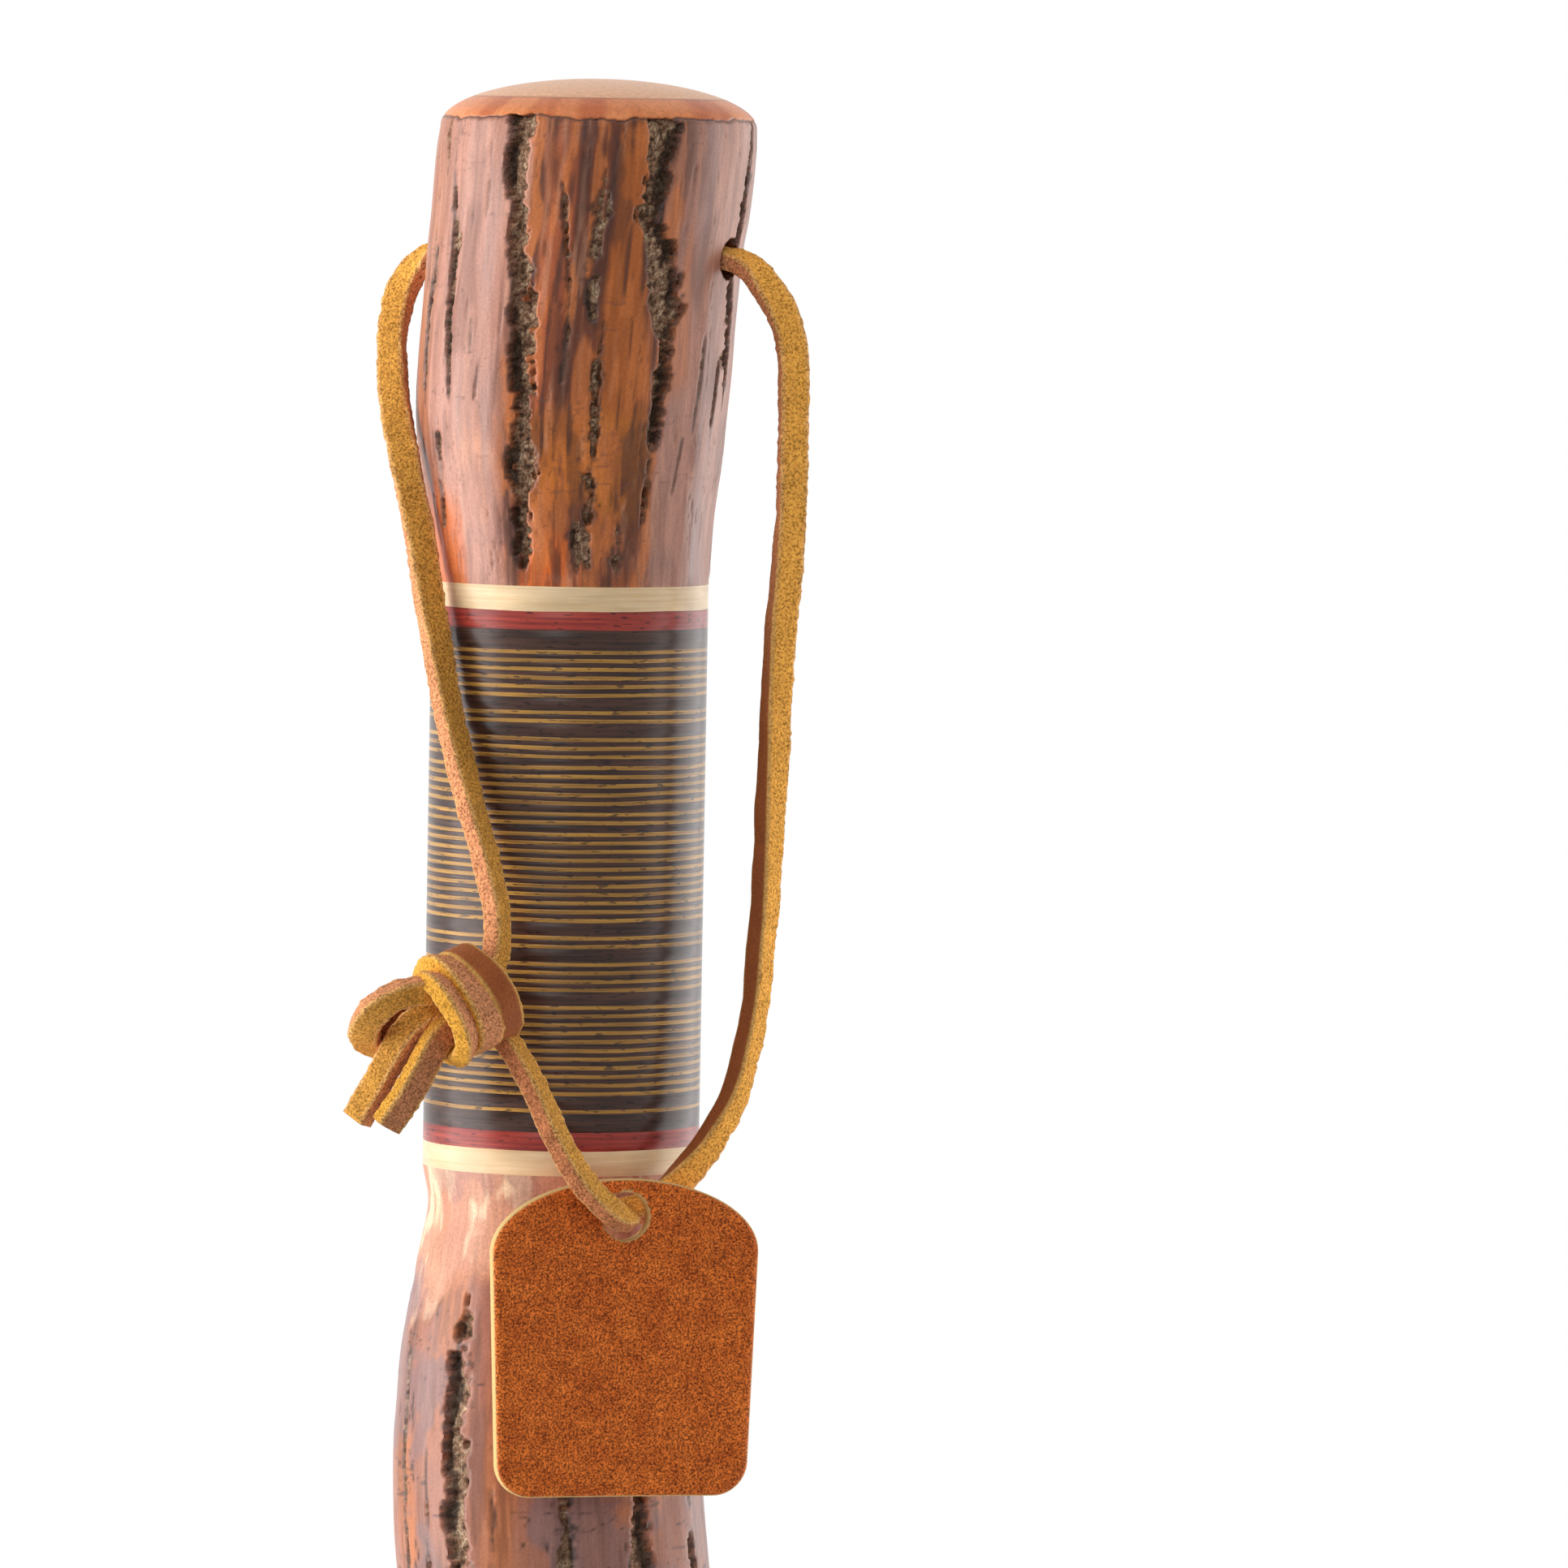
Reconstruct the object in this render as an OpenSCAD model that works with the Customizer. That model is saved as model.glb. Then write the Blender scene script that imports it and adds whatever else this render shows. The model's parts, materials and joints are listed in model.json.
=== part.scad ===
// Hiking staff: a barked natural stick with a turned inlay grip under its head,
// a leather wrist lace with a hanging tag, and a push-on rubber tip.
// Millimetres, +Z up the staff, the viewer's side is -Y, origin in the middle of the grip, where it is held.

/* [Shaft] */
// Length of the shaft from its foot to the grip
shaft_length = 861; // [700:1:1200]
// Sideways distance from the foot's axis to the grip's axis, taken up by the crooked shaft
shaft_lean = 23; // [10:0.5:40]
// Diameter of the round foot that the rubber tip is pushed on to
foot_d = 38; // [30:0.5:40]

/* [Grip] */
// Diameter of the turned grip, and of the head and shaft where they meet it
grip_d = 43.5; // [38:0.5:50]
// Thickness of each pale ring
maple_t = 3.9; // [2:0.1:8]
// Thickness of each red ring
red_t = 2.9; // [1:0.1:6]
// Thickness of each dark end ring
dark_ring_t = 3.1; // [1:0.1:6]
// Thickness of one gold veneer
gold_t = 0.61; // [0.4:0.01:1.2]
// Thickness of one dark lamination between two veneers
lamination_t = 0.73; // [0.4:0.01:1.5]
// Thickness of a wide dark spacer between two groups of veneers
wide_spacer_t = 2.15; // [1:0.05:5]
// Thickness of a slim dark spacer between two groups of veneers
slim_spacer_t = 1.2; // [0.8:0.05:3]
// Diameter of the hidden dowel that runs through the grip
dowel_d = 19; // [12:0.5:25]
// Depth of the dowel in the head and in the shaft
dowel_depth = 26; // [15:1:35]

/* [Head] */
// Length of the head above the grip
head_length = 79; // [65:0.5:120]
// Height of the rounded crown at the top of the head
crown_h = 7.6; // [4:0.2:14]
// Depth of the deepest furrow in the bark
furrow_depth = 2.8; // [0.5:0.1:4]
// Width of the widest furrow in the bark
furrow_w = 7; // [4:0.5:10]
// Distance of the lace's cross hole below the top
hole_drop = 27.8; // [20:0.1:34]
// Diameter of the lace's cross hole
hole_d = 6.6; // [6:0.1:9]
// Turn of the cross hole about the staff, its right mouth towards the viewer
hole_turn = 20; // [15:1:25]

/* [Rubber tip] */
// Height of the rubber tip
tip_h = 32; // [24:0.5:45]
// Thickness of rubber under the steel washer
tip_floor_t = 8; // [5:0.5:12]
// Wall of the tip's collar
collar_wall = 4.6; // [3:0.1:7]
// Height of the wider flange at the ground
flange_h = 11.5; // [6:0.5:16]
// Overhang of the flange past the collar
flange_over = 2.2; // [1:0.1:5]
// Thickness of the steel washer under the foot
washer_t = 1.6; // [0.8:0.1:3]

/* [Lanyard] */
// Width of the flat leather lace
lace_w = 4.6; // [3:0.1:4.8]
// Thickness of the flat leather lace
lace_t = 3; // [2:0.1:3.2]
// Outside diameter of the knot's wraps
knot_d = 16.6; // [15:0.2:18]
// Distance between two wraps of the knot
wrap_pitch = 4.2; // [3.8:0.1:4.4]

/* [Tag] */
// Width of the leather tag
tag_w = 42.8; // [32:0.2:50]
// Height of the leather tag
tag_h = 49.6; // [38:0.2:60]
// Thickness of the leather tag
tag_t = 3.2; // [1.5:0.1:3.4]
// Diameter of the lace hole in the tag
eye_d = 7.6; // [7.2:0.1:9]
// Distance of the lace hole's centre below the tag's top edge
eye_drop = 5.8; // [5.4:0.1:8]
// Height of the tag's arched top
tag_arch_h = 11.4; // [8:0.2:20]
// Radius of the tag's lower corners
tag_bottom_r = 5.5; // [1:0.5:8]
// Turn of the hanging tag about the upright, its left edge towards the viewer
tag_turn = 15; // [0:1:20]

/* [Hidden] */
$fn = 96;

// Radial clearances of the glued dowel and of the tip on the foot, and the reach of cuts past a face
dowel_clearance = 0.1;
tip_clearance = 0.1;
overrun = 2;

// Gold veneers in each group, from the top of the grip down, and the spacer under each group but the last
gold_group_counts = [6, 2, 3, 5, 2, 11, 2, 4, 11, 1];
group_spacers = ["wide", "wide", "slim", "slim", "slim", "wide", "wide", "wide", "wide"];
layers = [
    for (g = [0:len(gold_group_counts) - 1])
        each concat(
            [for (k = [1:gold_group_counts[g]]) each k > 1 ? ["lamination", "gold"] : ["gold"]],
            g < len(group_spacers) ? [group_spacers[g]] : []
        )
];
function layer_t(kind) =
    kind == "gold" ? gold_t
    : kind == "lamination" ? lamination_t
    : kind == "wide" ? wide_spacer_t
    : slim_spacer_t;
function stack_down_to(i) = i < 0 ? 0 : layer_t(layers[i]) + stack_down_to(i - 1);

// Heights up the staff
foot_z = tip_floor_t + washer_t;
grip_z = foot_z + shaft_length;
lower_red_z = grip_z + maple_t;
lower_dark_z = lower_red_z + red_t;
stack_z = lower_dark_z + dark_ring_t;
upper_dark_z = stack_z + stack_down_to(len(layers) - 1);
upper_red_z = upper_dark_z + dark_ring_t;
upper_maple_z = upper_red_z + red_t;
head_z = upper_maple_z + maple_t;
grip_middle = [-shaft_lean, 0, (grip_z + head_z) / 2];
top_z = head_z + head_length;
grip_x = -shaft_lean;
hole_centre = [grip_x, 0, top_z - hole_drop];

// Dowel bores in the head, the rings and the shaft, with glue room at each end
dowel_bore_d = dowel_d + 2 * dowel_clearance;
dowel_end_gap = 0.8;
dowel_chamfer = 1.2;

// Sections of the head: height as a share of its length up to the crown, then the sideways
// shift of its centre and its radius as shares of the grip's diameter
head_section_shares = [
    [0, 0, 0.5],
    [0.05, -0.002, 0.502],
    [0.15, -0.006, 0.518],
    [0.25, -0.008, 0.54],
    [0.36, -0.008, 0.558],
    [0.46, 0.002, 0.567],
    [0.57, 0.013, 0.569],
    [0.74, 0.037, 0.572],
    [0.81, 0.052, 0.576],
    [0.95, 0.071, 0.578],
    [1, 0.077, 0.572]
];
// Bark furrows of the head: places of the lower and the upper end round the staff as shares of a
// turn from the viewer's side, heights of both ends as shares of the head's length, then depth and
// width shares
head_furrow_shares = [
    [-0.142, -0.158, 0.12, 0.84, 0.55, 0.5],
    [-0.05, -0.077, 0.04, 0.95, 1, 0.9],
    [-0.016, -0.012, 0.36, 0.66, 0.5, 0.5],
    [0.02, 0.026, 0.1, 0.56, 0.8, 0.7],
    [0.09, 0.064, 0.14, 0.95, 0.95, 1],
    [0.214, 0.216, 0.2, 0.9, 0.6, 0.6],
    [0.262, 0.27, 0.1, 0.85, 0.8, 0.8],
    [0.33, 0.316, 0.3, 0.9, 0.9, 0.9],
    [0.404, 0.41, 0.06, 0.7, 0.8, 0.8],
    [0.486, 0.48, 0.2, 0.9, 1, 0.9],
    [0.574, 0.58, 0.1, 0.78, 0.8, 0.7],
    [0.656, 0.65, 0.3, 0.88, 0.9, 0.9],
    [0.744, 0.74, 0.08, 0.72, 0.7, 0.8]
];

// Sections of the shaft: height as a share of its length, sideways and fore-and-aft shift of its
// centre as shares of the lean, then its diameter as a share of the grip's diameter
shaft_section_shares = [
    [0.027, 0.03, 0, 0.89],
    [0.045, 0.026, 0, 0.898],
    [0.073, -0.009, 0, 0.942],
    [0.109, 0.017, 0.03, 0.89],
    [0.146, 0.1, 0.06, 0.898],
    [0.185, 0.104, 0.08, 0.948],
    [0.21, 0.03, 0.1, 0.956],
    [0.285, 0.061, 0.1, 0.96],
    [0.332, 0.087, 0.06, 0.964],
    [0.389, 0.157, -0.02, 0.938],
    [0.421, 0.27, -0.08, 0.97],
    [0.453, 0.374, -0.12, 1.006],
    [0.518, 0.443, -0.16, 0.993],
    [0.57, 0.47, -0.14, 1.002],
    [0.613, 0.543, -0.08, 1.043],
    [0.675, 0.613, 0.02, 1.081],
    [0.761, 0.63, 0.08, 1.089],
    [0.826, 0.7, 0.06, 1.1],
    [0.891, 0.86, 0.02, 1.115],
    [0.93, 1.02, 0, 1.125],
    [0.946, 1.055, 0, 1.12],
    [0.956, 1.05, 0, 1.105],
    [0.966, 1.04, 0, 1.09],
    [0.976, 1.03, 0, 1.045],
    [0.986, 1.01, 0, 0.995],
    [0.993, 1, 0, 0.962],
    [1, 1, 0, 1]
];
// Bark furrows of the shaft, in the same terms as the head's
shaft_furrow_shares = [
    [-0.165, -0.16, 0.74, 0.965, 0.7, 0.7],
    [-0.085, -0.075, 0.6, 0.968, 0.9, 0.9],
    [0.01, 0.02, 0.7, 0.95, 0.8, 0.9],
    [0.09, 0.1, 0.62, 0.955, 0.9, 1],
    [0.175, 0.18, 0.72, 0.955, 0.8, 0.9],
    [0.26, 0.265, 0.64, 0.94, 0.8, 1],
    [0.35, 0.34, 0.72, 0.95, 0.9, 0.9],
    [0.44, 0.43, 0.6, 0.93, 0.8, 1],
    [0.53, 0.53, 0.7, 0.955, 0.9, 0.9],
    [0.62, 0.63, 0.63, 0.94, 0.8, 1],
    [0.72, 0.725, 0.7, 0.95, 0.8, 0.9]
];
// Sawn branch knots of the shaft: height as a share of its length, place as a share of a turn,
// diameter as a share of the grip's diameter
shaft_knot_shares = [
    [0.662, -0.015, 0.4],
    [0.329, -0.06, 0.24],
    [0.208, 0.16, 0.36]
];
// Height that a sawn knot stands proud of the bark
knot_proud = 0.7;

// Meshing of the lofted wood: sides and rings, and the fade at a furrow's ends
head_sides = 72;
head_rings = 22;
crown_steps = 6;
shaft_sides = 44;
shaft_rings = 68;
furrow_fade_share = 0.07;
furrow_wander = 1.6;
furrow_waves = 3;

// Rubber tip
socket_d = foot_d + 2 * tip_clearance;
collar_d = socket_d + 2 * collar_wall;
flange_d = collar_d + 2 * flange_over;
tip_edge = 1;
tread_count = 3;
tread_share = 0.5;
tread_depth = 1.5;
washer_rim = 1;
washer_hole_d = 6;

// Route of the lace from the knot up the left side, through the cross hole, down the right
// side, behind the tag, out of its eye and back to the knot, from the middle of the cross hole
lace_route = [
    [-12.2, -29.2, -113], [-10.2, -27.6, -108.6], [-10, -26.2, -103.5], [-10.8, -24.8, -98.5],
    [-13, -22.6, -90.5], [-15.9, -19.9, -80.8], [-18.4, -17.4, -71], [-20.3, -15.1, -61.2],
    [-22.1, -12.6, -51.4], [-23.8, -10.2, -42.3], [-25.8, -7.4, -33.5], [-27.9, -1, -23.7],
    [-28.75, 4.4, -15.6], [-28.4, 7.6, -9.8], [-27.1, 9.2, -5.2], [-24.9, 9, -1.9],
    [-22, 8, 0], [-12, 4.37, 0], [0, 0, 0], [12, -4.37, 0],
    [24.4, -8.88, 0], [28, -10.5, -1.6], [30.6, -11.3, -4.9], [32.7, -11.5, -8.3],
    [34, -11.5, -12.2], [34.6, -11.5, -17.2], [34.65, -11.5, -27.2], [34.65, -11.5, -37.2],
    [34.2, -11.5, -45.4], [33.1, -11.6, -60.5], [32.3, -12, -80.5], [31.5, -12.4, -100.6],
    [31, -12.8, -107], [30.3, -13.6, -116.3], [28.5, -14.8, -126.3], [27, -15.6, -131.2],
    [24.4, -16.4, -136.2], [21.1, -17.3, -141.2], [17.8, -18.6, -145], [14.4, -20.4, -147.6],
    [10.6, -23.4, -148.6], [10.5, -26.1, -148.7], [10.35, -29.4, -148.7], [8.6, -32.3, -147.7],
    [4.9, -34.2, -143.9], [1.95, -34.8, -139.6], [-0.75, -34.4, -134.7], [-3.05, -32.9, -129.9],
    [-5.65, -31.1, -125.2], [-8.45, -29.8, -120.9], [-11.5, -29.6, -117.2]
];
// Route of the loop that stands out of the knot, from the knot's open end out and back
loop_route = [
    [-16.4, -35.2, -112.9], [-19.8, -36.8, -113.2], [-23.8, -38.3, -113.8], [-27.3, -38, -115.6],
    [-29.6, -35.8, -118.2], [-30.2, -32.4, -120.6], [-28.8, -28.8, -122.6], [-25.2, -27, -123.3],
    [-21, -27.1, -121.8], [-18.2, -28, -119.8]
];
// Routes of the two tails, from inside the knot to their cut ends
tail_routes = [
    [
        [-16.8, -32, -116.8], [-20.4, -32.7, -117.6], [-23.4, -33.1, -120], [-25.6, -33.1, -123.4],
        [-28.3, -32.7, -128.6], [-31.2, -32.1, -133.9]
    ],
    [
        [-16, -33.8, -118.4], [-18.4, -34.8, -120.6], [-19.8, -35.2, -123], [-21.4, -35.4, -126.2],
        [-23.6, -35.4, -130.2], [-26.5, -35, -134.6]
    ]
];
// Directions across the lace where each route starts
lace_across = [1, 0, 0];
loop_across = [0, 0, 1];
tail_across = [0.35, 0, -1];
lace_corner = 0.7;
// Places of the knot's middle and of the tag's eye, from the middle of the cross hole
knot_offset = [-15, -31.5, -115.8];
eye_offset = [10.5, -26.9, -148.7];
// Bearing and dip of the knot's axis, which points out of its open end, and its wraps from the
// closed end on: place in pitches, share of the knot's diameter and tilt
knot_bearing = 211;
knot_dip = 21;
wrap_places = [-1, 0, 1];
wrap_d_shares = [0.95, 1, 0.93];
wrap_tilts = [7, -5, 6];
// Core of bundled strands inside the wraps: diameter share, and its ends in pitches
knot_core_share = 0.78;
knot_core_ends = [-1.6, 1];
// Width of the tag's foot as a share of its width
tag_foot_share = 0.945;
// Steps of the tag's arched top
arch_steps = 48;

// Points on a curve through a table of shares whose first column rises
function segment_of(table, u, i = 0) =
    i >= len(table) - 2 || u < table[i + 1][0] ? i : segment_of(table, u, i + 1);
function slope_at(table, i, col) =
    let (lo = table[max(i - 1, 0)], hi = table[min(i + 1, len(table) - 1)])
    (hi[col] - lo[col]) / (hi[0] - lo[0]);
function smooth_at(table, u, col) =
    let (
        i = segment_of(table, u),
        a = table[i],
        b = table[i + 1],
        w = b[0] - a[0],
        t = (u - a[0]) / w
    )
    a[col] * (1 + 2 * t) * (1 - t)^2 + slope_at(table, i, col) * w * t * (1 - t)^2
    + b[col] * t^2 * (3 - 2 * t) - slope_at(table, i + 1, col) * w * t^2 * (1 - t);

// Depth of the bark furrows at one place round and up the wood
function turn_between(a, b) = (a - b) - 360 * round((a - b) / 360);
function furrow_at(table, radius, turn, u) =
    max([
        for (f = table)
            let (
                rise = (u - f[2]) / (f[3] - f[2]),
                sway = furrow_wander * sin(360 * (furrow_waves * u + 2 * f[0])),
                middle = 360 * (f[0] + (f[1] - f[0]) * rise) + sway,
                across = abs(turn_between(turn, middle)) * PI / 180 * radius,
                half = furrow_w * f[5] / 2,
                ends = min(1, max(0, min(u - f[2], f[3] - u) / furrow_fade_share)),
                bowl = across < half ? (1 - (across / half)^2)^2 : 0
            )
            furrow_depth * f[4] * ends * bowl
    ]);

// Closed skins over rings of points
function side_faces(sides, rings) = [
    for (k = [0:rings - 2], i = [0:sides - 1])
        let (a = k * sides + i, b = k * sides + (i + 1) % sides)
        each [[a, a + sides, b], [b, a + sides, b + sides]]
];
function cap_faces(sides, first, up) = [
    for (i = [1:sides - 2])
        up ? [first, first + i + 1, first + i] : [first, first + i, first + i + 1]
];
module skin(rings) {
    sides = len(rings[0]);
    count = len(rings);
    polyhedron(
        points = [for (ring = rings) each ring],
        faces = concat(
            cap_faces(sides, 0, false),
            side_faces(sides, count),
            cap_faces(sides, (count - 1) * sides, true)
        )
    );
}

// Rings of the head's blank: the barked sides, then the crown as half an ellipse
head_side_h = head_length - crown_h;
function head_ring(u, crown) =
    let (
        middle = grip_x + smooth_at(head_section_shares, u, 1) * grip_d,
        radius = smooth_at(head_section_shares, u, 2) * grip_d,
        z = head_z + u * head_side_h + sin(crown) * crown_h,
        bark_u = (z - head_z) / head_length
    )
    [
        for (i = [0:head_sides - 1])
            let (
                turn = 360 * i / head_sides,
                r = radius * cos(crown) - furrow_at(head_furrow_shares, radius, turn, bark_u)
            )
            [middle + r * sin(turn), -r * cos(turn), z]
    ];
module head_blank() {
    last_crown = 86;
    skin(concat(
        [for (k = [0:head_rings]) head_ring(k / head_rings, 0)],
        [for (k = [1:crown_steps]) head_ring(1, last_crown * k / crown_steps)]
    ));
}

// Rings of the shaft's blank, from just above the tip's rim to the grip
shaft_first_u = (tip_h + knot_proud - foot_z) / shaft_length;
function shaft_middle(u) = [
    -shaft_lean * smooth_at(shaft_section_shares, u, 1),
    -shaft_lean * smooth_at(shaft_section_shares, u, 2),
    foot_z + u * shaft_length
];
function shaft_radius(u) = grip_d * smooth_at(shaft_section_shares, u, 3) / 2;
function shaft_ring(u) =
    let (middle = shaft_middle(u), radius = shaft_radius(u))
    [
        for (i = [0:shaft_sides - 1])
            let (
                turn = 360 * i / shaft_sides,
                r = radius - furrow_at(shaft_furrow_shares, radius, turn, u)
            )
            middle + r * [sin(turn), -cos(turn), 0]
    ];
module shaft_blank() {
    step_u = (1 - shaft_first_u) / shaft_rings;
    skin([for (k = [0:shaft_rings]) shaft_ring(shaft_first_u + k * step_u)]);
}

// Leather lace: a flat strip with eased edges, swept along a route
function unit(v) = v / norm(v);
function square_to(v, t) = unit(v - (v * t) * t);
function heading(route, i) = unit(route[min(i + 1, len(route) - 1)] - route[max(i - 1, 0)]);
function across_route(route, first) = [
    for (
        i = 0, n = square_to(first, heading(route, 0));
        i < len(route);
        i = i + 1, n = square_to(n, heading(route, min(i, len(route) - 1)))
    )
        n
];
function lace_section() =
    let (w = lace_w / 2, t = lace_t / 2, v = w - lace_corner, s = t - lace_corner)
    [[w, s], [v, t], [-v, t], [-w, s], [-w, -s], [-v, -t], [v, -t], [w, -s]];
module lace(route, first) {
    across = across_route(route, first);
    skin([
        for (i = [0:len(route) - 1])
            let (n = across[i], b = cross(heading(route, i), n))
            [for (p = lace_section()) route[i] + p[0] * n + p[1] * b]
    ]);
}

// One turned disc of the grip, bored for the dowel
module grip_disc(z, t) {
    translate([grip_x, 0, z])
        difference() {
            cylinder(d = grip_d, h = t);
            translate([0, 0, -overrun])
                cylinder(d = dowel_bore_d, h = t + 2 * overrun);
        }
}
module grip_layers(kind) {
    for (i = [0:len(layers) - 1])
        if (layers[i] == kind)
            grip_disc(upper_dark_z - stack_down_to(i), layer_t(kind));
}

module head() {
    color("sienna")
        difference() {
            head_blank();
            translate([grip_x, 0, head_z - overrun])
                cylinder(d = dowel_bore_d, h = dowel_depth + dowel_end_gap + overrun);
            translate(hole_centre)
                rotate([0, 90, -hole_turn])
                    cylinder(d = hole_d, h = 2 * grip_d, center = true);
        }
}

module upper_maple_ring() {
    color("burlywood")
        grip_disc(upper_maple_z, maple_t);
}

module upper_red_ring() {
    color("firebrick")
        grip_disc(upper_red_z, red_t);
}

module upper_dark_ring() {
    color([0.22, 0.16, 0.16])
        grip_disc(upper_dark_z, dark_ring_t);
}

module gold_veneers() {
    color("darkgoldenrod")
        grip_layers("gold");
}

module dark_laminations() {
    color([0.2, 0.15, 0.15])
        grip_layers("lamination");
}

module dark_spacers() {
    color([0.25, 0.18, 0.18]) {
        grip_layers("wide");
        grip_layers("slim");
    }
}

module lower_dark_ring() {
    color([0.22, 0.16, 0.16])
        grip_disc(lower_dark_z, dark_ring_t);
}

module lower_red_ring() {
    color("firebrick")
        grip_disc(lower_red_z, red_t);
}

module lower_maple_ring() {
    color("burlywood")
        grip_disc(grip_z, maple_t);
}

module core_dowel() {
    dowel_length = head_z - grip_z + 2 * dowel_depth;
    end_d = dowel_d - 2 * dowel_chamfer;
    color("tan")
        translate([grip_x, 0, grip_z - dowel_depth]) {
            cylinder(d1 = end_d, d2 = dowel_d, h = dowel_chamfer);
            translate([0, 0, dowel_chamfer])
                cylinder(d = dowel_d, h = dowel_length - 2 * dowel_chamfer);
            translate([0, 0, dowel_length - dowel_chamfer])
                cylinder(d1 = dowel_d, d2 = end_d, h = dowel_chamfer);
        }
}

module shaft() {
    color("saddlebrown")
        difference() {
            union() {
                shaft_blank();
                translate([0, 0, foot_z])
                    cylinder(d = foot_d, h = tip_h + knot_proud + overrun - foot_z);
                for (k = shaft_knot_shares)
                    translate(shaft_middle(k[0]))
                        rotate([90, 0, 360 * k[1]])
                            cylinder(d = k[2] * grip_d, h = shaft_radius(k[0]) + knot_proud);
            }
            translate([grip_x, 0, grip_z - dowel_depth - dowel_end_gap])
                cylinder(d = dowel_bore_d, h = dowel_depth + dowel_end_gap + overrun);
        }
}

module rubber_tip() {
    tread_pitch = flange_d / 2 / (tread_count + 1);
    color([0.13, 0.12, 0.12])
        difference() {
            rotate_extrude()
                polygon([
                    [0, 0],
                    [flange_d / 2 - tip_edge, 0],
                    [flange_d / 2, tip_edge],
                    [flange_d / 2, flange_h - tip_edge],
                    [flange_d / 2 - tip_edge, flange_h],
                    [collar_d / 2, flange_h],
                    [collar_d / 2, tip_h - tip_edge],
                    [collar_d / 2 - tip_edge, tip_h],
                    [0, tip_h]
                ]);
            translate([0, 0, tip_floor_t])
                cylinder(d = socket_d, h = tip_h);
            for (k = [1:tread_count])
                rotate_extrude()
                    translate([k * tread_pitch, -overrun])
                        square([tread_pitch * tread_share, tread_depth + overrun]);
        }
}

module tip_washer() {
    color("silver")
        translate([0, 0, tip_floor_t])
            difference() {
                cylinder(d = foot_d - 2 * washer_rim, h = washer_t);
                translate([0, 0, -overrun])
                    cylinder(d = washer_hole_d, h = washer_t + 2 * overrun);
            }
}

module lanyard_lace() {
    color("goldenrod")
        translate(hole_centre)
            lace(lace_route, lace_across);
}

module knot_wrap(d, place, tilt) {
    translate([0, 0, place * wrap_pitch])
        rotate([tilt, 0, 0])
            rotate_extrude()
                translate([(d - lace_t) / 2, 0])
                    polygon([for (p = lace_section()) [p[1], p[0]]]);
}
module lanyard_knot() {
    core_from = knot_core_ends[0] * wrap_pitch;
    core_to = knot_core_ends[1] * wrap_pitch;
    color("peru")
        translate(hole_centre + knot_offset)
            rotate([0, 90 + knot_dip, knot_bearing]) {
                translate([0, 0, core_from])
                    cylinder(d = knot_core_share * knot_d, h = core_to - core_from);
                for (k = [0:len(wrap_places) - 1])
                    knot_wrap(wrap_d_shares[k] * knot_d, wrap_places[k], wrap_tilts[k]);
            }
}

module knot_loop() {
    color("goldenrod")
        translate(hole_centre)
            lace(loop_route, loop_across);
}

module lace_tails() {
    color("goldenrod")
        translate(hole_centre)
            for (route = tail_routes)
                lace(route, tail_across);
}

module tag_outline() {
    low = eye_drop - tag_h;
    shoulder_y = eye_drop - tag_arch_h;
    ankle_y = low + tag_bottom_r;
    foot_w = tag_foot_share * tag_w;
    difference() {
        union() {
            polygon(concat(
                [
                    for (k = [0:arch_steps])
                        let (turn = 180 * k / arch_steps)
                        [tag_w / 2 * cos(turn), shoulder_y + tag_arch_h * sin(turn)]
                ],
                [[-foot_w / 2, ankle_y], [foot_w / 2, ankle_y]]
            ));
            for (side = [-1, 1])
                translate([side * (foot_w / 2 - tag_bottom_r), ankle_y])
                    circle(r = tag_bottom_r);
            translate([tag_bottom_r - foot_w / 2, low])
                square([foot_w - 2 * tag_bottom_r, shoulder_y - low]);
        }
        circle(d = eye_d);
    }
}

module leather_tag() {
    color("chocolate")
        translate(hole_centre + eye_offset)
            rotate([90, 0, tag_turn])
                linear_extrude(height = tag_t, center = true)
                    tag_outline();
}

translate(-grip_middle) {
    head();
    upper_maple_ring();
    upper_red_ring();
    upper_dark_ring();
    gold_veneers();
    dark_laminations();
    dark_spacers();
    lower_dark_ring();
    lower_red_ring();
    lower_maple_ring();
    core_dowel();
    shaft();
    rubber_tip();
    tip_washer();
    lanyard_lace();
    lanyard_knot();
    knot_loop();
    lace_tails();
    leather_tag();
}
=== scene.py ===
"""Hiking staff: a barked stick with a laminated grip, a tied leather lace, a tag and a rubber tip.

Metres, in the CAD part's frame: +Z up the staff, -Y towards the viewer.
"""

import json
import math

import bpy
import numpy as np
from mathutils import Matrix, Vector

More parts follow.
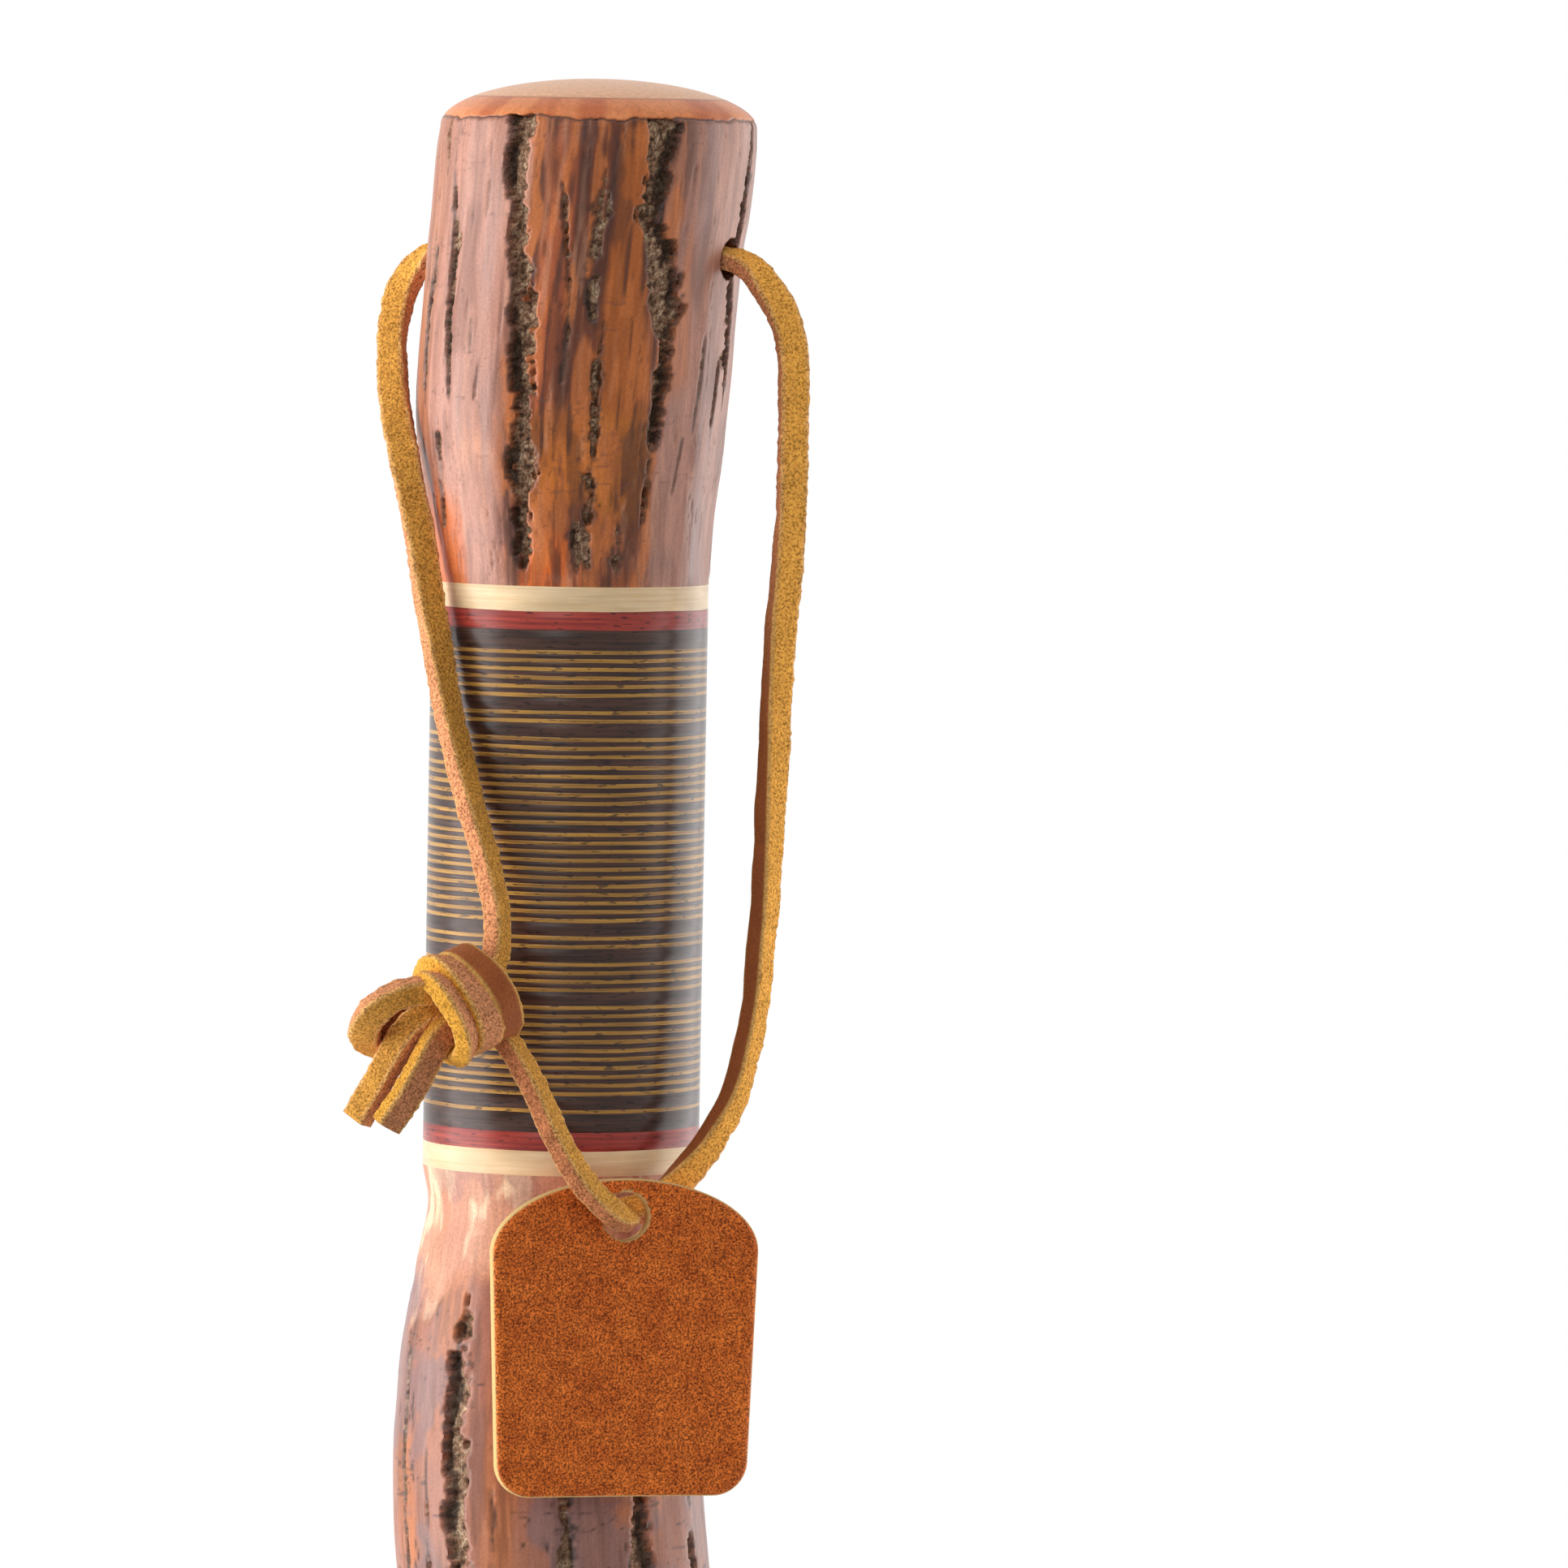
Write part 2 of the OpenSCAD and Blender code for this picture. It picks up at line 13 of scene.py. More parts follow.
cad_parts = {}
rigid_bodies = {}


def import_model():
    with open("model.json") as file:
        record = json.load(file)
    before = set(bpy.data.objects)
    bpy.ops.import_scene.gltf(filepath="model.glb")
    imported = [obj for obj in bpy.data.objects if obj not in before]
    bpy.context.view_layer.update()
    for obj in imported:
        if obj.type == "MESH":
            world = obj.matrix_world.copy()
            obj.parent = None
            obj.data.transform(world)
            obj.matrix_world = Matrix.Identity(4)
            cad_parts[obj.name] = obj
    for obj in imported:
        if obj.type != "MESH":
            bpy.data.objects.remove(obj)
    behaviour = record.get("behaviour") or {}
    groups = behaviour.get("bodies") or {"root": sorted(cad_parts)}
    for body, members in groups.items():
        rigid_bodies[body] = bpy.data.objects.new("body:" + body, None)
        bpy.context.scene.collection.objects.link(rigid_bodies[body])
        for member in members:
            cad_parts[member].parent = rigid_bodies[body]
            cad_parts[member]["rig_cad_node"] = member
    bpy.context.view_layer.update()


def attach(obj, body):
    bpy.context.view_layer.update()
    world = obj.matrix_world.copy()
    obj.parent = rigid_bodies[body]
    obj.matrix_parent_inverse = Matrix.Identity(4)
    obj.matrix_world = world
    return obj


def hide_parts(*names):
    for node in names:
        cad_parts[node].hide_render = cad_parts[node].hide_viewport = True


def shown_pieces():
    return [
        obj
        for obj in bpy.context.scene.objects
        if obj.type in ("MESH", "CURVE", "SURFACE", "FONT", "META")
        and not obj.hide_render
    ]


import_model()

# Sizes of the staff and heights from the grip's middle; the hole's turn is in degrees
GRIP_D = 0.0435
GRIP_Z = -0.04599
FOOT_X = 0.023
FOOT_Z = -0.90699
FOOT_R = 0.019
SOLE_Z = -0.91659
SHAFT_LENGTH = 0.861
SHAFT_FIRST_U = 0.0269
SHAFT_LEAN = 0.023
MAPLE_T = 0.0039
RED_T = 0.0029
DARK_RING_T = 0.0031
GOLD_T = 0.00061
LAMINATION_T = 0.00073
WIDE_SPACER_T = 0.00215
SLIM_SPACER_T = 0.0012
BORE_R = 0.0096
BORE_DEPTH = 0.0268
HEAD_Z = 0.04599
HEAD_LENGTH = 0.079
CROWN_H = 0.0076
CROWN_PITH = (0.0033, 0.004)
HOLE_CENTRE = np.array([0.0, 0.0, 0.09719])
HOLE_D = 0.0066
HOLE_TURN = 20
LACE_W = 0.0046
LACE_T = 0.003
# Relief of the bark: its furrows, its thin cracks, the wood's wave and the crumbs of cork
FURROW_DEPTH = 0.0018
CRACK_DEPTH = 0.0002
WAVE_H = 0.0014
CORK_H = 0.0011
# Relief of the lace: its pile and its lumps
PILE_H = 0.0006
LUMP_H = 0.0005
# Turned discs: how uneven their glued faces are, and how far their edges are eased
FACE_UNEVEN = 0.0004
EASE_R = 0.00003
EASE_H = 0.00002
# Distances between the growth rings on the crown and on the sawn knots
CROWN_RING_GAP = 0.0016
KNOT_RING_GAP = 0.0011
# Degrees up the crown's curve where the bark ends and where the sawn dome begins
BARK_END = 11
DOME_START = 37
# Floor, just under the tip when that is pulled off
FLOOR_DROP = 0.0295
FLOOR_R = 0.6
FLOOR_T = 0.004
# Point that the softboxes are turned to
LIGHT_AIM = (FOOT_X, 0, -0.2)
# Fineness of the meshes: points round a turned ring, steps along the lace, and the height
# above which the shaft's rows lie closer
RING_POINTS = 144
LACE_STEP = 0.0005
FINE_MESH_Z = -0.1316

# Camera, set to the close-up, with its rise and roll in degrees
CAMERA_AIM = (0.03416, 0.0, 0.01472)
CAMERA_REACH = 2.0
CAMERA_HALF_VIEW = 0.12335
CAMERA_RISE = 3.1
CAMERA_ROLL = 1.0

# Head: height share, sideways shift and radius as shares of the grip's diameter
HEAD_SECTIONS = np.array([
    [0, 0, 0.5], [0.05, -0.002, 0.502], [0.15, -0.006, 0.518], [0.25, -0.008, 0.54],
    [0.36, -0.008, 0.558], [0.46, 0.002, 0.567], [0.57, 0.013, 0.569], [0.74, 0.037, 0.572],
    [0.81, 0.052, 0.576], [0.95, 0.071, 0.578], [1, 0.077, 0.572],
])
# Furrows of the bark: depth share, the side given painted shade, then height share, degrees from the
# viewer's side and width in millimetres along each course
HEAD_FURROWS = (
    (0.5, -1, ((0.36, -50, 0.6), (0.51, -53.7, 1.6), (0.67, -55, 1.8), (0.82, -59.5, 0.7))),
    (0.5, -1, ((0.1, -60, 1.2), (0.23, -56.5, 1.8), (0.3, -57, 2.4))),
    (1.0, -1, ((0.03, -18, 1.8), (0.13, -18.7, 3.6), (0.23, -17.5, 4.2), (0.32, -17.3, 4.3),
               (0.42, -17.9, 3.8), (0.51, -20.3, 4.4), (0.61, -22, 4.0), (0.7, -25.5, 4.3),
               (0.8, -27.4, 4.6), (0.95, -29.5, 5.4))),
    (0.6, -1, ((0.4, -3.4, 1.0), (0.51, -2.1, 1.3), (0.62, -4.1, 1.1), (0.8, -10.2, 0.6))),
    (0.4, -1, ((0.5, 8, 1.2), (0.56, 6, 2.6), (0.63, 4.4, 3.0), (0.72, 4.6, 2.2), (0.83, 5, 0.8))),
    (0.8, 1, ((0.12, 8, 1.3), (0.23, 8.9, 2.4), (0.32, 10.5, 2.0), (0.42, 8.9, 1.6), (0.53, 10, 0.8))),
    (0.5, -1, ((0.02, 4.6, 2.0), (0.07, 4.6, 3.0), (0.13, 4, 1.6))),
    (0.5, 1, ((0.02, 21, 1.4), (0.07, 21, 2.2), (0.14, 20, 1.2))),
    (1.0, 1, ((0.12, 30.7, 0.6), (0.23, 32, 1.5), (0.32, 33, 2.4), (0.42, 33.4, 3.6), (0.48, 33.8, 4.2),
              (0.54, 34.3, 6.0), (0.61, 32, 5.6), (0.67, 28.9, 5.4), (0.73, 22.9, 4.4), (0.8, 23.4, 5.2),
              (0.95, 25.5, 6.4))),
    (0.6, 1, ((0.34, 77, 0.8), (0.44, 75, 2.4), (0.56, 73, 2.6), (0.62, 72, 0.8))),
    (0.6, 1, ((0.64, 72, 0.8), (0.72, 74, 2.4), (0.84, 75, 2.6), (0.94, 78, 1.6))),
    (0.3, -1, ((0.45, -40, 0.4), (0.53, -41, 0.5))),
    (0.3, -1, ((0.36, -37, 0.4), (0.45, -36, 0.5))),
    (0.5, 1, ((0.8, -66, 0.5), (0.86, -66, 1.6), (0.94, -68, 1.0))),
    (0.5, -1, ((0.34, -68, 0.6), (0.42, -70, 1.8), (0.52, -71, 1.4), (0.6, -69, 2.0), (0.67, -68, 0.6))),
    (0.3, 1, ((0.3, 52, 0.4), (0.42, 54, 0.5), (0.5, 55, 0.4))),
    (0.3, 1, ((0.18, 44, 0.4), (0.3, 47, 0.5))),
    (0.4, 1, ((0.28, 66, 0.6), (0.46, 67, 0.9))),
    (0.8, 1, ((0.08, 95, 0.8), (0.2, 97, 3.2), (0.4, 95, 1.6), (0.6, 99, 4.2), (0.95, 100, 3.0))),
    (0.9, 1, ((0.24, 120, 0.6), (0.4, 118, 4.4), (0.55, 115, 2.2), (0.75, 117, 5.2), (0.95, 113, 3.6))),
    (0.8, -1, ((0.04, 143, 1.2), (0.2, 146, 4.6), (0.36, 144, 2.0), (0.55, 149, 3.8), (0.76, 147, 0.8))),
    (1.0, 1, ((0.14, 177, 0.6), (0.3, 176, 3.0), (0.5, 172, 5.4), (0.7, 175, 3.0), (0.95, 173, 5.0))),
    (0.4, 1, ((0.5, 160, 0.5), (0.7, 162, 1.4), (0.92, 160, 0.8))),
    (0.8, -1, ((0.06, -155, 0.8), (0.25, -152, 3.8), (0.45, -155, 1.8), (0.66, -150, 4.4),
               (0.86, -153, 0.8))),
    (0.4, -1, ((0.1, -138, 0.5), (0.32, -139, 1.6), (0.5, -137, 0.6))),
    (0.9, 1, ((0.26, -121, 0.8), (0.42, -125, 4.6), (0.6, -123, 2.4), (0.78, -128, 5.0), (0.95, -126, 3.4))),
    (0.7, -1, ((0.04, -90, 0.8), (0.2, -93, 3.6), (0.4, -91, 1.4), (0.6, -95, 3.6), (0.78, -93, 0.8))),
)
# Stains of the head's bark: middle and half width in degrees, lower and upper end as height
# shares, colour, strength
HEAD_STAINS = (
    # The first two stains, pale pink on the flanks, are partly the bark's tone and partly painted sheen
    (-44, 20, -0.1, 1.1, (190, 136, 118), 0.8), (58, 22, -0.1, 1.1, (182, 130, 112), 0.75),
    (5, 26, -0.1, 1.1, (146, 78, 42), 0.9), (1, 14, 0.36, 0.99, (90, 39, 17), 0.9),
    (-12, 4, 0.2, 0.97, (184, 96, 54), 0.8), (17, 7, 0.25, 0.95, (186, 102, 42), 0.8),
    (41, 6, 0.35, 0.92, (196, 114, 64), 0.75), (-3, 14, 0.12, 0.36, (208, 118, 44), 0.9),
    (19, 10, 0.12, 0.36, (200, 118, 42), 0.9), (-9, 8, -0.1, 0.14, (232, 114, 44), 1.0),
    (-61, 13, -0.1, 0.2, (222, 118, 60), 0.9), (-42, 18, 0.06, 0.13, (140, 112, 116), 0.55),
    (-36, 9, 0.2, 0.34, (226, 160, 126), 0.6), (36, 12, 0.0, 0.1, (146, 104, 92), 0.6),
    (125, 22, -0.1, 1.1, (186, 130, 104), 0.7), (180, 24, -0.1, 1.1, (158, 92, 58), 0.7),
    (-120, 20, -0.1, 1.1, (184, 124, 98), 0.7), (150, 8, 0.1, 0.6, (200, 110, 52), 0.7),
)
# Shaft: height share, shifts as shares of the lean, diameter as a share of the grip's
SHAFT_SECTIONS = np.array([
    [0.027, 0.03, 0, 0.89], [0.045, 0.026, 0, 0.898], [0.073, -0.009, 0, 0.942],
    [0.109, 0.017, 0.03, 0.89], [0.146, 0.1, 0.06, 0.898], [0.185, 0.104, 0.08, 0.948],
    [0.21, 0.03, 0.1, 0.956], [0.285, 0.061, 0.1, 0.96], [0.332, 0.087, 0.06, 0.964],
    [0.389, 0.157, -0.02, 0.938], [0.421, 0.27, -0.08, 0.97], [0.453, 0.374, -0.12, 1.006],
    [0.518, 0.443, -0.16, 0.993], [0.57, 0.47, -0.14, 1.002], [0.613, 0.543, -0.08, 1.043],
    [0.675, 0.613, 0.02, 1.081], [0.761, 0.63, 0.08, 1.089], [0.826, 0.7, 0.06, 1.1],
    [0.891, 0.86, 0.02, 1.115], [0.93, 1.02, 0, 1.125], [0.946, 1.055, 0, 1.12],
    [0.956, 1.05, 0, 1.105], [0.966, 1.04, 0, 1.09], [0.976, 1.03, 0, 1.045],
    [0.986, 1.01, 0, 0.995], [0.993, 1, 0, 0.962], [1, 1, 0, 1],
])
SHAFT_FURROWS = (
    (0.5, -1, ((0.74, -59, 0.8), (0.8, -60, 3.6), (0.9, -66, 1.6), (0.93, -66, 1.4), (0.96, -67.5, 1.8),
               (0.975, -72, 0.6))),
    (0.4, -1, ((0.967, -66, 0.5), (0.976, -66, 1.2), (0.984, -65, 0.4))),
    (0.5, -1, ((0.86, -51, 0.6), (0.91, -53, 1.6), (0.94, -50, 0.6))),
    (0.4, 1, ((0.88, -20, 0.6), (0.92, -22, 1.4), (0.948, -19, 0.6))),
    (0.9, -1, ((0.6, -30, 5.0), (0.9, -36, 4.6), (0.94, -36, 4.2), (0.958, -36.5, 5.0), (0.968, -36, 4.8),
               (0.978, -34.5, 2.0))),
    (0.8, 1, ((0.69, 2, 0.8), (0.73, 5, 4.0), (0.78, 1, 2.0), (0.83, 6, 5.2), (0.88, 9, 2.6),
              (0.92, 6, 4.6), (0.955, 8, 0.8))),
    (0.9, 1, ((0.61, 30, 0.8), (0.66, 33, 5.0), (0.72, 29, 2.4), (0.78, 35, 6.0), (0.85, 31, 3.0),
              (0.92, 37, 5.4), (0.96, 36, 0.8))),
    (0.8, 1, ((0.71, 61, 0.8), (0.76, 65, 4.6), (0.82, 60, 2.2), (0.88, 66, 5.4), (0.955, 64, 0.8))),
    (0.8, 1, ((0.63, 92, 0.8), (0.69, 96, 5.4), (0.75, 91, 2.4), (0.82, 97, 5.6), (0.88, 93, 2.6),
              (0.945, 96, 1.2))),
    (0.9, 1, ((0.71, 128, 0.8), (0.77, 124, 5.2), (0.83, 128, 2.4), (0.89, 121, 5.2), (0.955, 124, 0.8))),
    (0.8, -1, ((0.59, 160, 0.8), (0.66, 156, 5.4), (0.73, 161, 2.6), (0.8, 154, 6.0),
               (0.87, 158, 3.0), (0.935, 154, 0.8))),
    (0.9, 1, ((0.69, -171, 0.8), (0.75, -167, 5.4), (0.82, -172, 2.6), (0.88, -166, 5.0), (0.96, -170, 0.8))),
    (0.8, -1, ((0.62, -139, 0.8), (0.68, -134, 5.4), (0.76, -139, 2.8), (0.84, -132, 5.8),
               (0.89, -136, 2.6), (0.945, -132, 0.8))),
    (0.8, 1, ((0.69, -103, 0.8), (0.75, -99, 5.2), (0.82, -104, 2.4), (0.89, -97, 5.0), (0.955, -100, 0.8))),
    (0.4, 1, ((0.8, 20, 0.6), (0.84, 18, 1.8), (0.9, 21, 0.6))),
    (0.4, -1, ((0.74, -84, 0.6), (0.8, -82, 2.0), (0.87, -85, 0.6))),
    (0.4, 1, ((0.72, 108, 0.6), (0.79, 111, 2.2), (0.86, 108, 0.6))),
    (0.4, -1, ((0.76, -152, 0.6), (0.82, -150, 2.0), (0.9, -153, 0.6))),
)
# Sawn knots: height share, place in turns from the viewer's side, diameter as a share of the grip's
SHAFT_KNOTS = [(0.662, -0.015, 0.4), (0.329, -0.06, 0.24), (0.208, 0.16, 0.36)]
# Lower bark: height shares, and how dark the bark is there
LOW_DARKNESS = ([0.03, 0.06, 0.09, 0.14, 0.2, 0.26, 0.33, 0.4, 0.48, 0.62],
                [0.42, 0.46, 0.53, 0.51, 0.44, 0.5, 0.5, 0.56, 0.6, 0.58])

# Gold veneers in each group from the top down, and the wide or slim spacer under each group
GOLD_GROUPS = (6, 2, 3, 5, 2, 11, 2, 4, 11, 1)
SPACERS = "WWSSSWWWW"

# Lace, from the knot through the head's cross hole to the tag and back, from the hole's middle
LACE_ROUTE = np.array([
    [-12.2, -29.2, -113], [-10.2, -27.6, -108.6], [-10, -26.2, -103.5], [-10.8, -24.8, -98.5],
    [-13, -22.6, -90.5], [-15.9, -19.9, -80.8], [-18.4, -17.4, -71], [-20.3, -15.1, -61.2],
    [-22.1, -12.6, -51.4], [-23.8, -10.2, -42.3], [-25.8, -7.4, -33.5], [-27.9, -1, -23.7],
    [-28.75, 4.4, -15.6], [-28.4, 7.6, -9.8], [-27.1, 9.2, -5.2], [-24.9, 9, -1.9],
    [-22, 8, 0], [-12, 4.37, 0], [0, 0, 0], [12, -4.37, 0],
    [24.4, -8.88, 0], [28, -10.5, -1.6], [30.6, -11.3, -4.9], [32.7, -11.5, -8.3],
    [34, -11.5, -12.2], [34.6, -11.5, -17.2], [34.65, -11.5, -27.2], [34.65, -11.5, -37.2],
    [34.2, -11.5, -45.4], [33.1, -11.6, -60.5], [32.3, -12, -80.5], [31.5, -12.4, -100.6],
    [31, -12.8, -107], [30.3, -13.6, -116.3], [28.5, -14.8, -126.3], [27, -15.6, -131.2],
    [24.4, -16.4, -136.2], [21.1, -17.3, -141.2], [17.8, -18.6, -145], [14.4, -20.4, -147.6],
    [10.6, -23.4, -148.6], [10.5, -26.1, -148.7], [10.35, -29.4, -148.7], [8.6, -32.3, -147.7],
    [4.9, -34.2, -143.9], [1.95, -34.8, -139.6], [-0.75, -34.4, -134.7], [-3.05, -32.9, -129.9],
    [-5.65, -31.1, -125.2], [-8.45, -29.8, -120.9], [-11.5, -29.6, -117.2],
]) * 0.001
# Ways the lace's suede side faces at points of its route, and where its left edge is smooth
LACE_FACINGS = (
    (0, 0.9, -0.4, 0.1), (3, 0.85, -0.5, 0), (6, 0.7, -0.7, 0), (8, 0.35, -0.9, 0), (10, 0, -1, 0),
    (12, -0.3, -0.95, 0), (14, -0.4, -0.75, 0.5), (15.5, 0, -0.5, 0.85), (17, 0, 0, 1), (19, 0, 0, 1),
    (20.5, 0.1, -0.4, 0.9), (22, 0.25, -0.85, 0.4), (24, 0.2, -0.98, 0), (27, 0.25, -0.95, 0),
    (29, 0.5, -0.86, 0), (31, 0.84, -0.54, 0), (34, 0.84, -0.5, 0.1), (38, 0.66, -0.4, 0.6),
    (40, 0.5, -0.4, 0.8), (42, 0.6, -0.45, 0.6), (44, 0.78, -0.42, 0.44),
    (47, 0.8, -0.42, 0.42), (50, 0.8, -0.42, 0.42),
)
SMOOTH_EDGE = (26, 41)
# Places on the lace's route, and how bright its suede side is there
LACE_SHADE = ((3, 10, 20, 40, 43), (0.7, 0.76, 1.1, 1.1, 0.72))
LOOP_ROUTE = np.array([
    [-16.4, -35.2, -112.9], [-19.8, -36.8, -113.2], [-23.8, -38.3, -113.8], [-27.3, -38, -115.6],
    [-29.6, -35.8, -118.2], [-30.2, -32.4, -120.6], [-28.8, -28.8, -122.6], [-25.2, -27, -123.3],
    [-21, -27.1, -121.8], [-18.2, -28, -119.8],
]) * 0.001
TAIL_ROUTES = np.array([
    [
        [-16.8, -32, -116.8], [-20.4, -32.7, -117.6], [-23.4, -33.1, -120], [-25.6, -33.1, -123.4],
        [-28.3, -32.7, -128.6], [-31.2, -32.1, -133.9],
    ],
    [
        [-16, -33.8, -118.4], [-18.4, -34.8, -120.6], [-19.8, -35.2, -123], [-21.4, -35.4, -126.2],
        [-23.6, -35.4, -130.2], [-26.5, -35, -134.6],
    ],
]) * 0.001
# Knot: middle from the hole's middle, axis out of its open end, and its wraps of lace
KNOT_OFFSET = np.array([-0.015, -0.0315, -0.1158])
KNOT_AXIS = np.array([-0.8, -0.48, -0.36])
KNOT_D = 0.0166
WRAP_PITCH = 0.0038
KNOT_TURNS = 2.9
# Core under the wraps: radius, and place along the knot's axis
KNOT_CORE = ((0.0015, -0.006), (0.0052, -0.0058), (0.0064, -0.005), (0.0064, 0.001), (0.0015, 0.0018))
# Strand inside the knot's bight, from the hole's middle
INNER_ROUTE = np.array([
    [-16, -30, -115.6], [-20, -29.4, -116.4], [-23.6, -29.2, -117.8], [-26, -29.4, -119.8],
    [-27, -29.8, -122],
]) * 0.001

# Tag about its eye: the eye from the hole's middle, sizes, and a turn in degrees
EYE_OFFSET = np.array([0.0105, -0.0269, -0.1487])
TAG_W = 0.0428
TAG_FOOT_W = 0.04045
TAG_TOP = 0.0058
TAG_H = 0.0496
TAG_T = 0.0032
TAG_ARCH_H = 0.0114
TAG_BOTTOM_R = 0.0055
TAG_TURN = 15
EYE_D = 0.0076
# Edge of the tag: inset from its outline, and drop from its face
TAG_EASING = (
    (0.0026, 0.0), (0.002, 0.0), (0.0014, 0.00002), (0.0009, 0.0001), (0.0005, 0.00025),
    (0.00025, 0.00045), (0.0001, 0.0007), (0.0, 0.001),
)

# Rubber tip: radius and height of its outline, from the sole's middle up to the socket
TIP_OUTLINE = (
    (0.0005, 0.0), (0.006, 0.0), (0.0062, 0.0015), (0.0097, 0.0015), (0.0099, 0.0),
    (0.0126, 0.0), (0.0128, 0.0015), (0.0162, 0.0015), (0.0164, 0.0), (0.0191, 0.0),
    (0.0193, 0.0015), (0.0227, 0.0015), (0.0229, 0.0), (0.0249, 0.0), (0.0256, 0.0004),
    (0.0259, 0.0012), (0.0259, 0.0103), (0.0256, 0.0111), (0.0249, 0.0115), (0.024, 0.01155),
    (0.0237, 0.0119), (0.0237, 0.0308), (0.0234, 0.0316), (0.0227, 0.032), (0.0196, 0.032),
    (0.0191, 0.0316), (0.0191, 0.008), (0.0005, 0.008),
)


def tint(red, green, blue):
    """A linear colour from its screen values of 0 to 255."""
    share = np.array([red, green, blue]) / 255
    return np.where(share <= 0.04045, share / 12.92, ((share + 0.055) / 1.055) ** 2.4)


# Colours of the lace: its suede side, its cut edges, its smooth side and the knot's rims
MUSTARD = tint(238, 172, 78)
PINK = tint(224, 152, 108)
BROWN = tint(140, 74, 36)
GOLDEN = tint(228, 166, 64)


def unit(vectors):
    """The same directions, each of length 1."""
    return vectors / np.linalg.norm(vectors, axis=-1, keepdims=True)


def square_to(vectors, heading):
    """The directions turned square to a heading, each of length 1."""
    return unit(vectors - np.sum(vectors * heading, axis=-1, keepdims=True) * heading)


def ramp(value, low, high):
    """0 up to low, 1 from high on and a smooth step between; low may be the greater."""
    share = np.clip((value - low) / (high - low), 0, 1)
    return share * share * (3 - 2 * share)


def bell(value, middle, width):
    """1 at the middle, falling away smoothly over a width on both sides."""
    return np.exp(-((value - middle) / width) ** 2)


def points_at(x, y, z):
    """Points from coordinates that are spread to one shape."""
    return np.stack(np.broadcast_arrays(x, y, z), -1)


def directions(count):
    """Degrees round the staff from the viewer's side, and those directions' parts along +X and +Y."""
    turn = np.linspace(-180, 180, count, endpoint=False)
    return turn, np.sin(np.radians(turn)), -np.cos(np.radians(turn))


def level_ring(count, radius, x, z):
    """Points round a level circle."""
    _, east, north = directions(count)
    return points_at(x + radius * east, radius * north, z)


def lengths_along(line):
    """How far along a line each of its points lies."""
    return np.concatenate([[0], np.cumsum(np.linalg.norm(np.diff(line, axis=0), axis=1))])


def curve_at(table, u, column):
    """A smooth curve through a column of a table whose first column rises."""
    at, value = table[:, 0], table[:, column]
    before = np.maximum(np.arange(len(at)) - 1, 0)
    after = np.minimum(np.arange(len(at)) + 1, len(at) - 1)
    slope = (value[after] - value[before]) / (at[after] - at[before])
    i = np.clip(np.searchsorted(at, u, side="right") - 1, 0, len(at) - 2)
    width = at[i + 1] - at[i]
    t = np.clip((u - at[i]) / width, 0, 1)
    return (value[i] * (1 + 2 * t) * (1 - t) ** 2 + slope[i] * width * t * (1 - t) ** 2
            + value[i + 1] * t ** 2 * (3 - 2 * t) - slope[i + 1] * width * t ** 2 * (1 - t))


def curve_points(table, u):
    """Smooth curves through the three columns after a table's first."""
    return np.stack([curve_at(table, u, column) for column in (1, 2, 3)], axis=1)


def smooth_line(route):
    """Evenly spaced points on a curve through a route from the cross hole, and their places on it."""
    route = HOLE_CENTRE + route
    table = np.column_stack([lengths_along(route), route])
    fine = np.linspace(0, table[-1, 0], len(route) * 40)
    line = curve_points(table, fine)
    along = lengths_along(line)
    at = np.linspace(0, along[-1], int(along[-1] / LACE_STEP) + 1)
    places = np.interp(at, along, np.interp(fine, table[:, 0], np.arange(len(route))))
    return np.stack([np.interp(at, along, line[:, k]) for k in range(3)], axis=1), places


def lattice(cell, seed):
    """A fixed number from 0 to 1 at each whole point."""
    with np.errstate(over="ignore"):
        x, y, z = (cell[..., k].astype(np.uint32) for k in range(3))
        h = x * np.uint32(374761393) + y * np.uint32(668265263) + z * np.uint32(2246822519)
        h = h + np.uint32(seed) * np.uint32(3266489917)
        h = (h ^ (h >> np.uint32(13))) * np.uint32(1274126177)
        h = (h ^ (h >> np.uint32(16))) * np.uint32(2654435769)
        h = h ^ (h >> np.uint32(15))
    return (h >> np.uint32(8)) / float(1 << 24)


def clouds(points, size, octaves, seed):
    """Layered noise from 0 to 1, with blotches of about a size, or of one across and one upright."""
    size = np.atleast_1d(size)[[0, 0, -1]]
    total, weight, whole = 0.0, 1.0, 0.0
    for octave in range(octaves):
        spot = points / size * 2 ** octave + 7.31 * octave + 3.7 * seed
        cell = np.floor(spot).astype(np.int64)
        f = spot - cell
        f = f * f * f * (f * (f * 6 - 15) + 10)
        layer = 0.0
        for corner in np.ndindex(2, 2, 2):
            share = np.prod(np.where(np.array(corner) == 1, f, 1 - f), axis=-1)
            layer = layer + share * lattice(cell + np.array(corner), seed * 31 + octave)
        total = total + weight * layer
        whole += weight
        weight *= 0.5
    return total / whole


def warped(points, size, seed):
    """The points, each moved by less than a size, so that blotches lose their straight sides."""
    shift = np.stack([clouds(points, size, 2, seed + k) for k in range(3)], -1) - 0.5
    return points + shift * size * 1.6


def stain(paint, colour, share):
    """The paint, moved towards a colour by a share at each point."""
    return paint + (colour - paint) * share[..., None]


def layered(paint, *coats):
    """The paint under coats, each a screen colour and its share at each point."""
    for colour, share in coats:
        paint = stain(paint, tint(*colour), share)
    return paint


def painted(shape, colour, *coats):
    """Paint of one screen colour for a shape of points, under coats."""
    return layered(np.broadcast_to(tint(*colour), (*shape, 3)), *coats)


def in_scene(name, data):
    """A new object in the scene."""
    made = bpy.data.objects.new(name, data)
    bpy.context.scene.collection.objects.link(made)
    return made


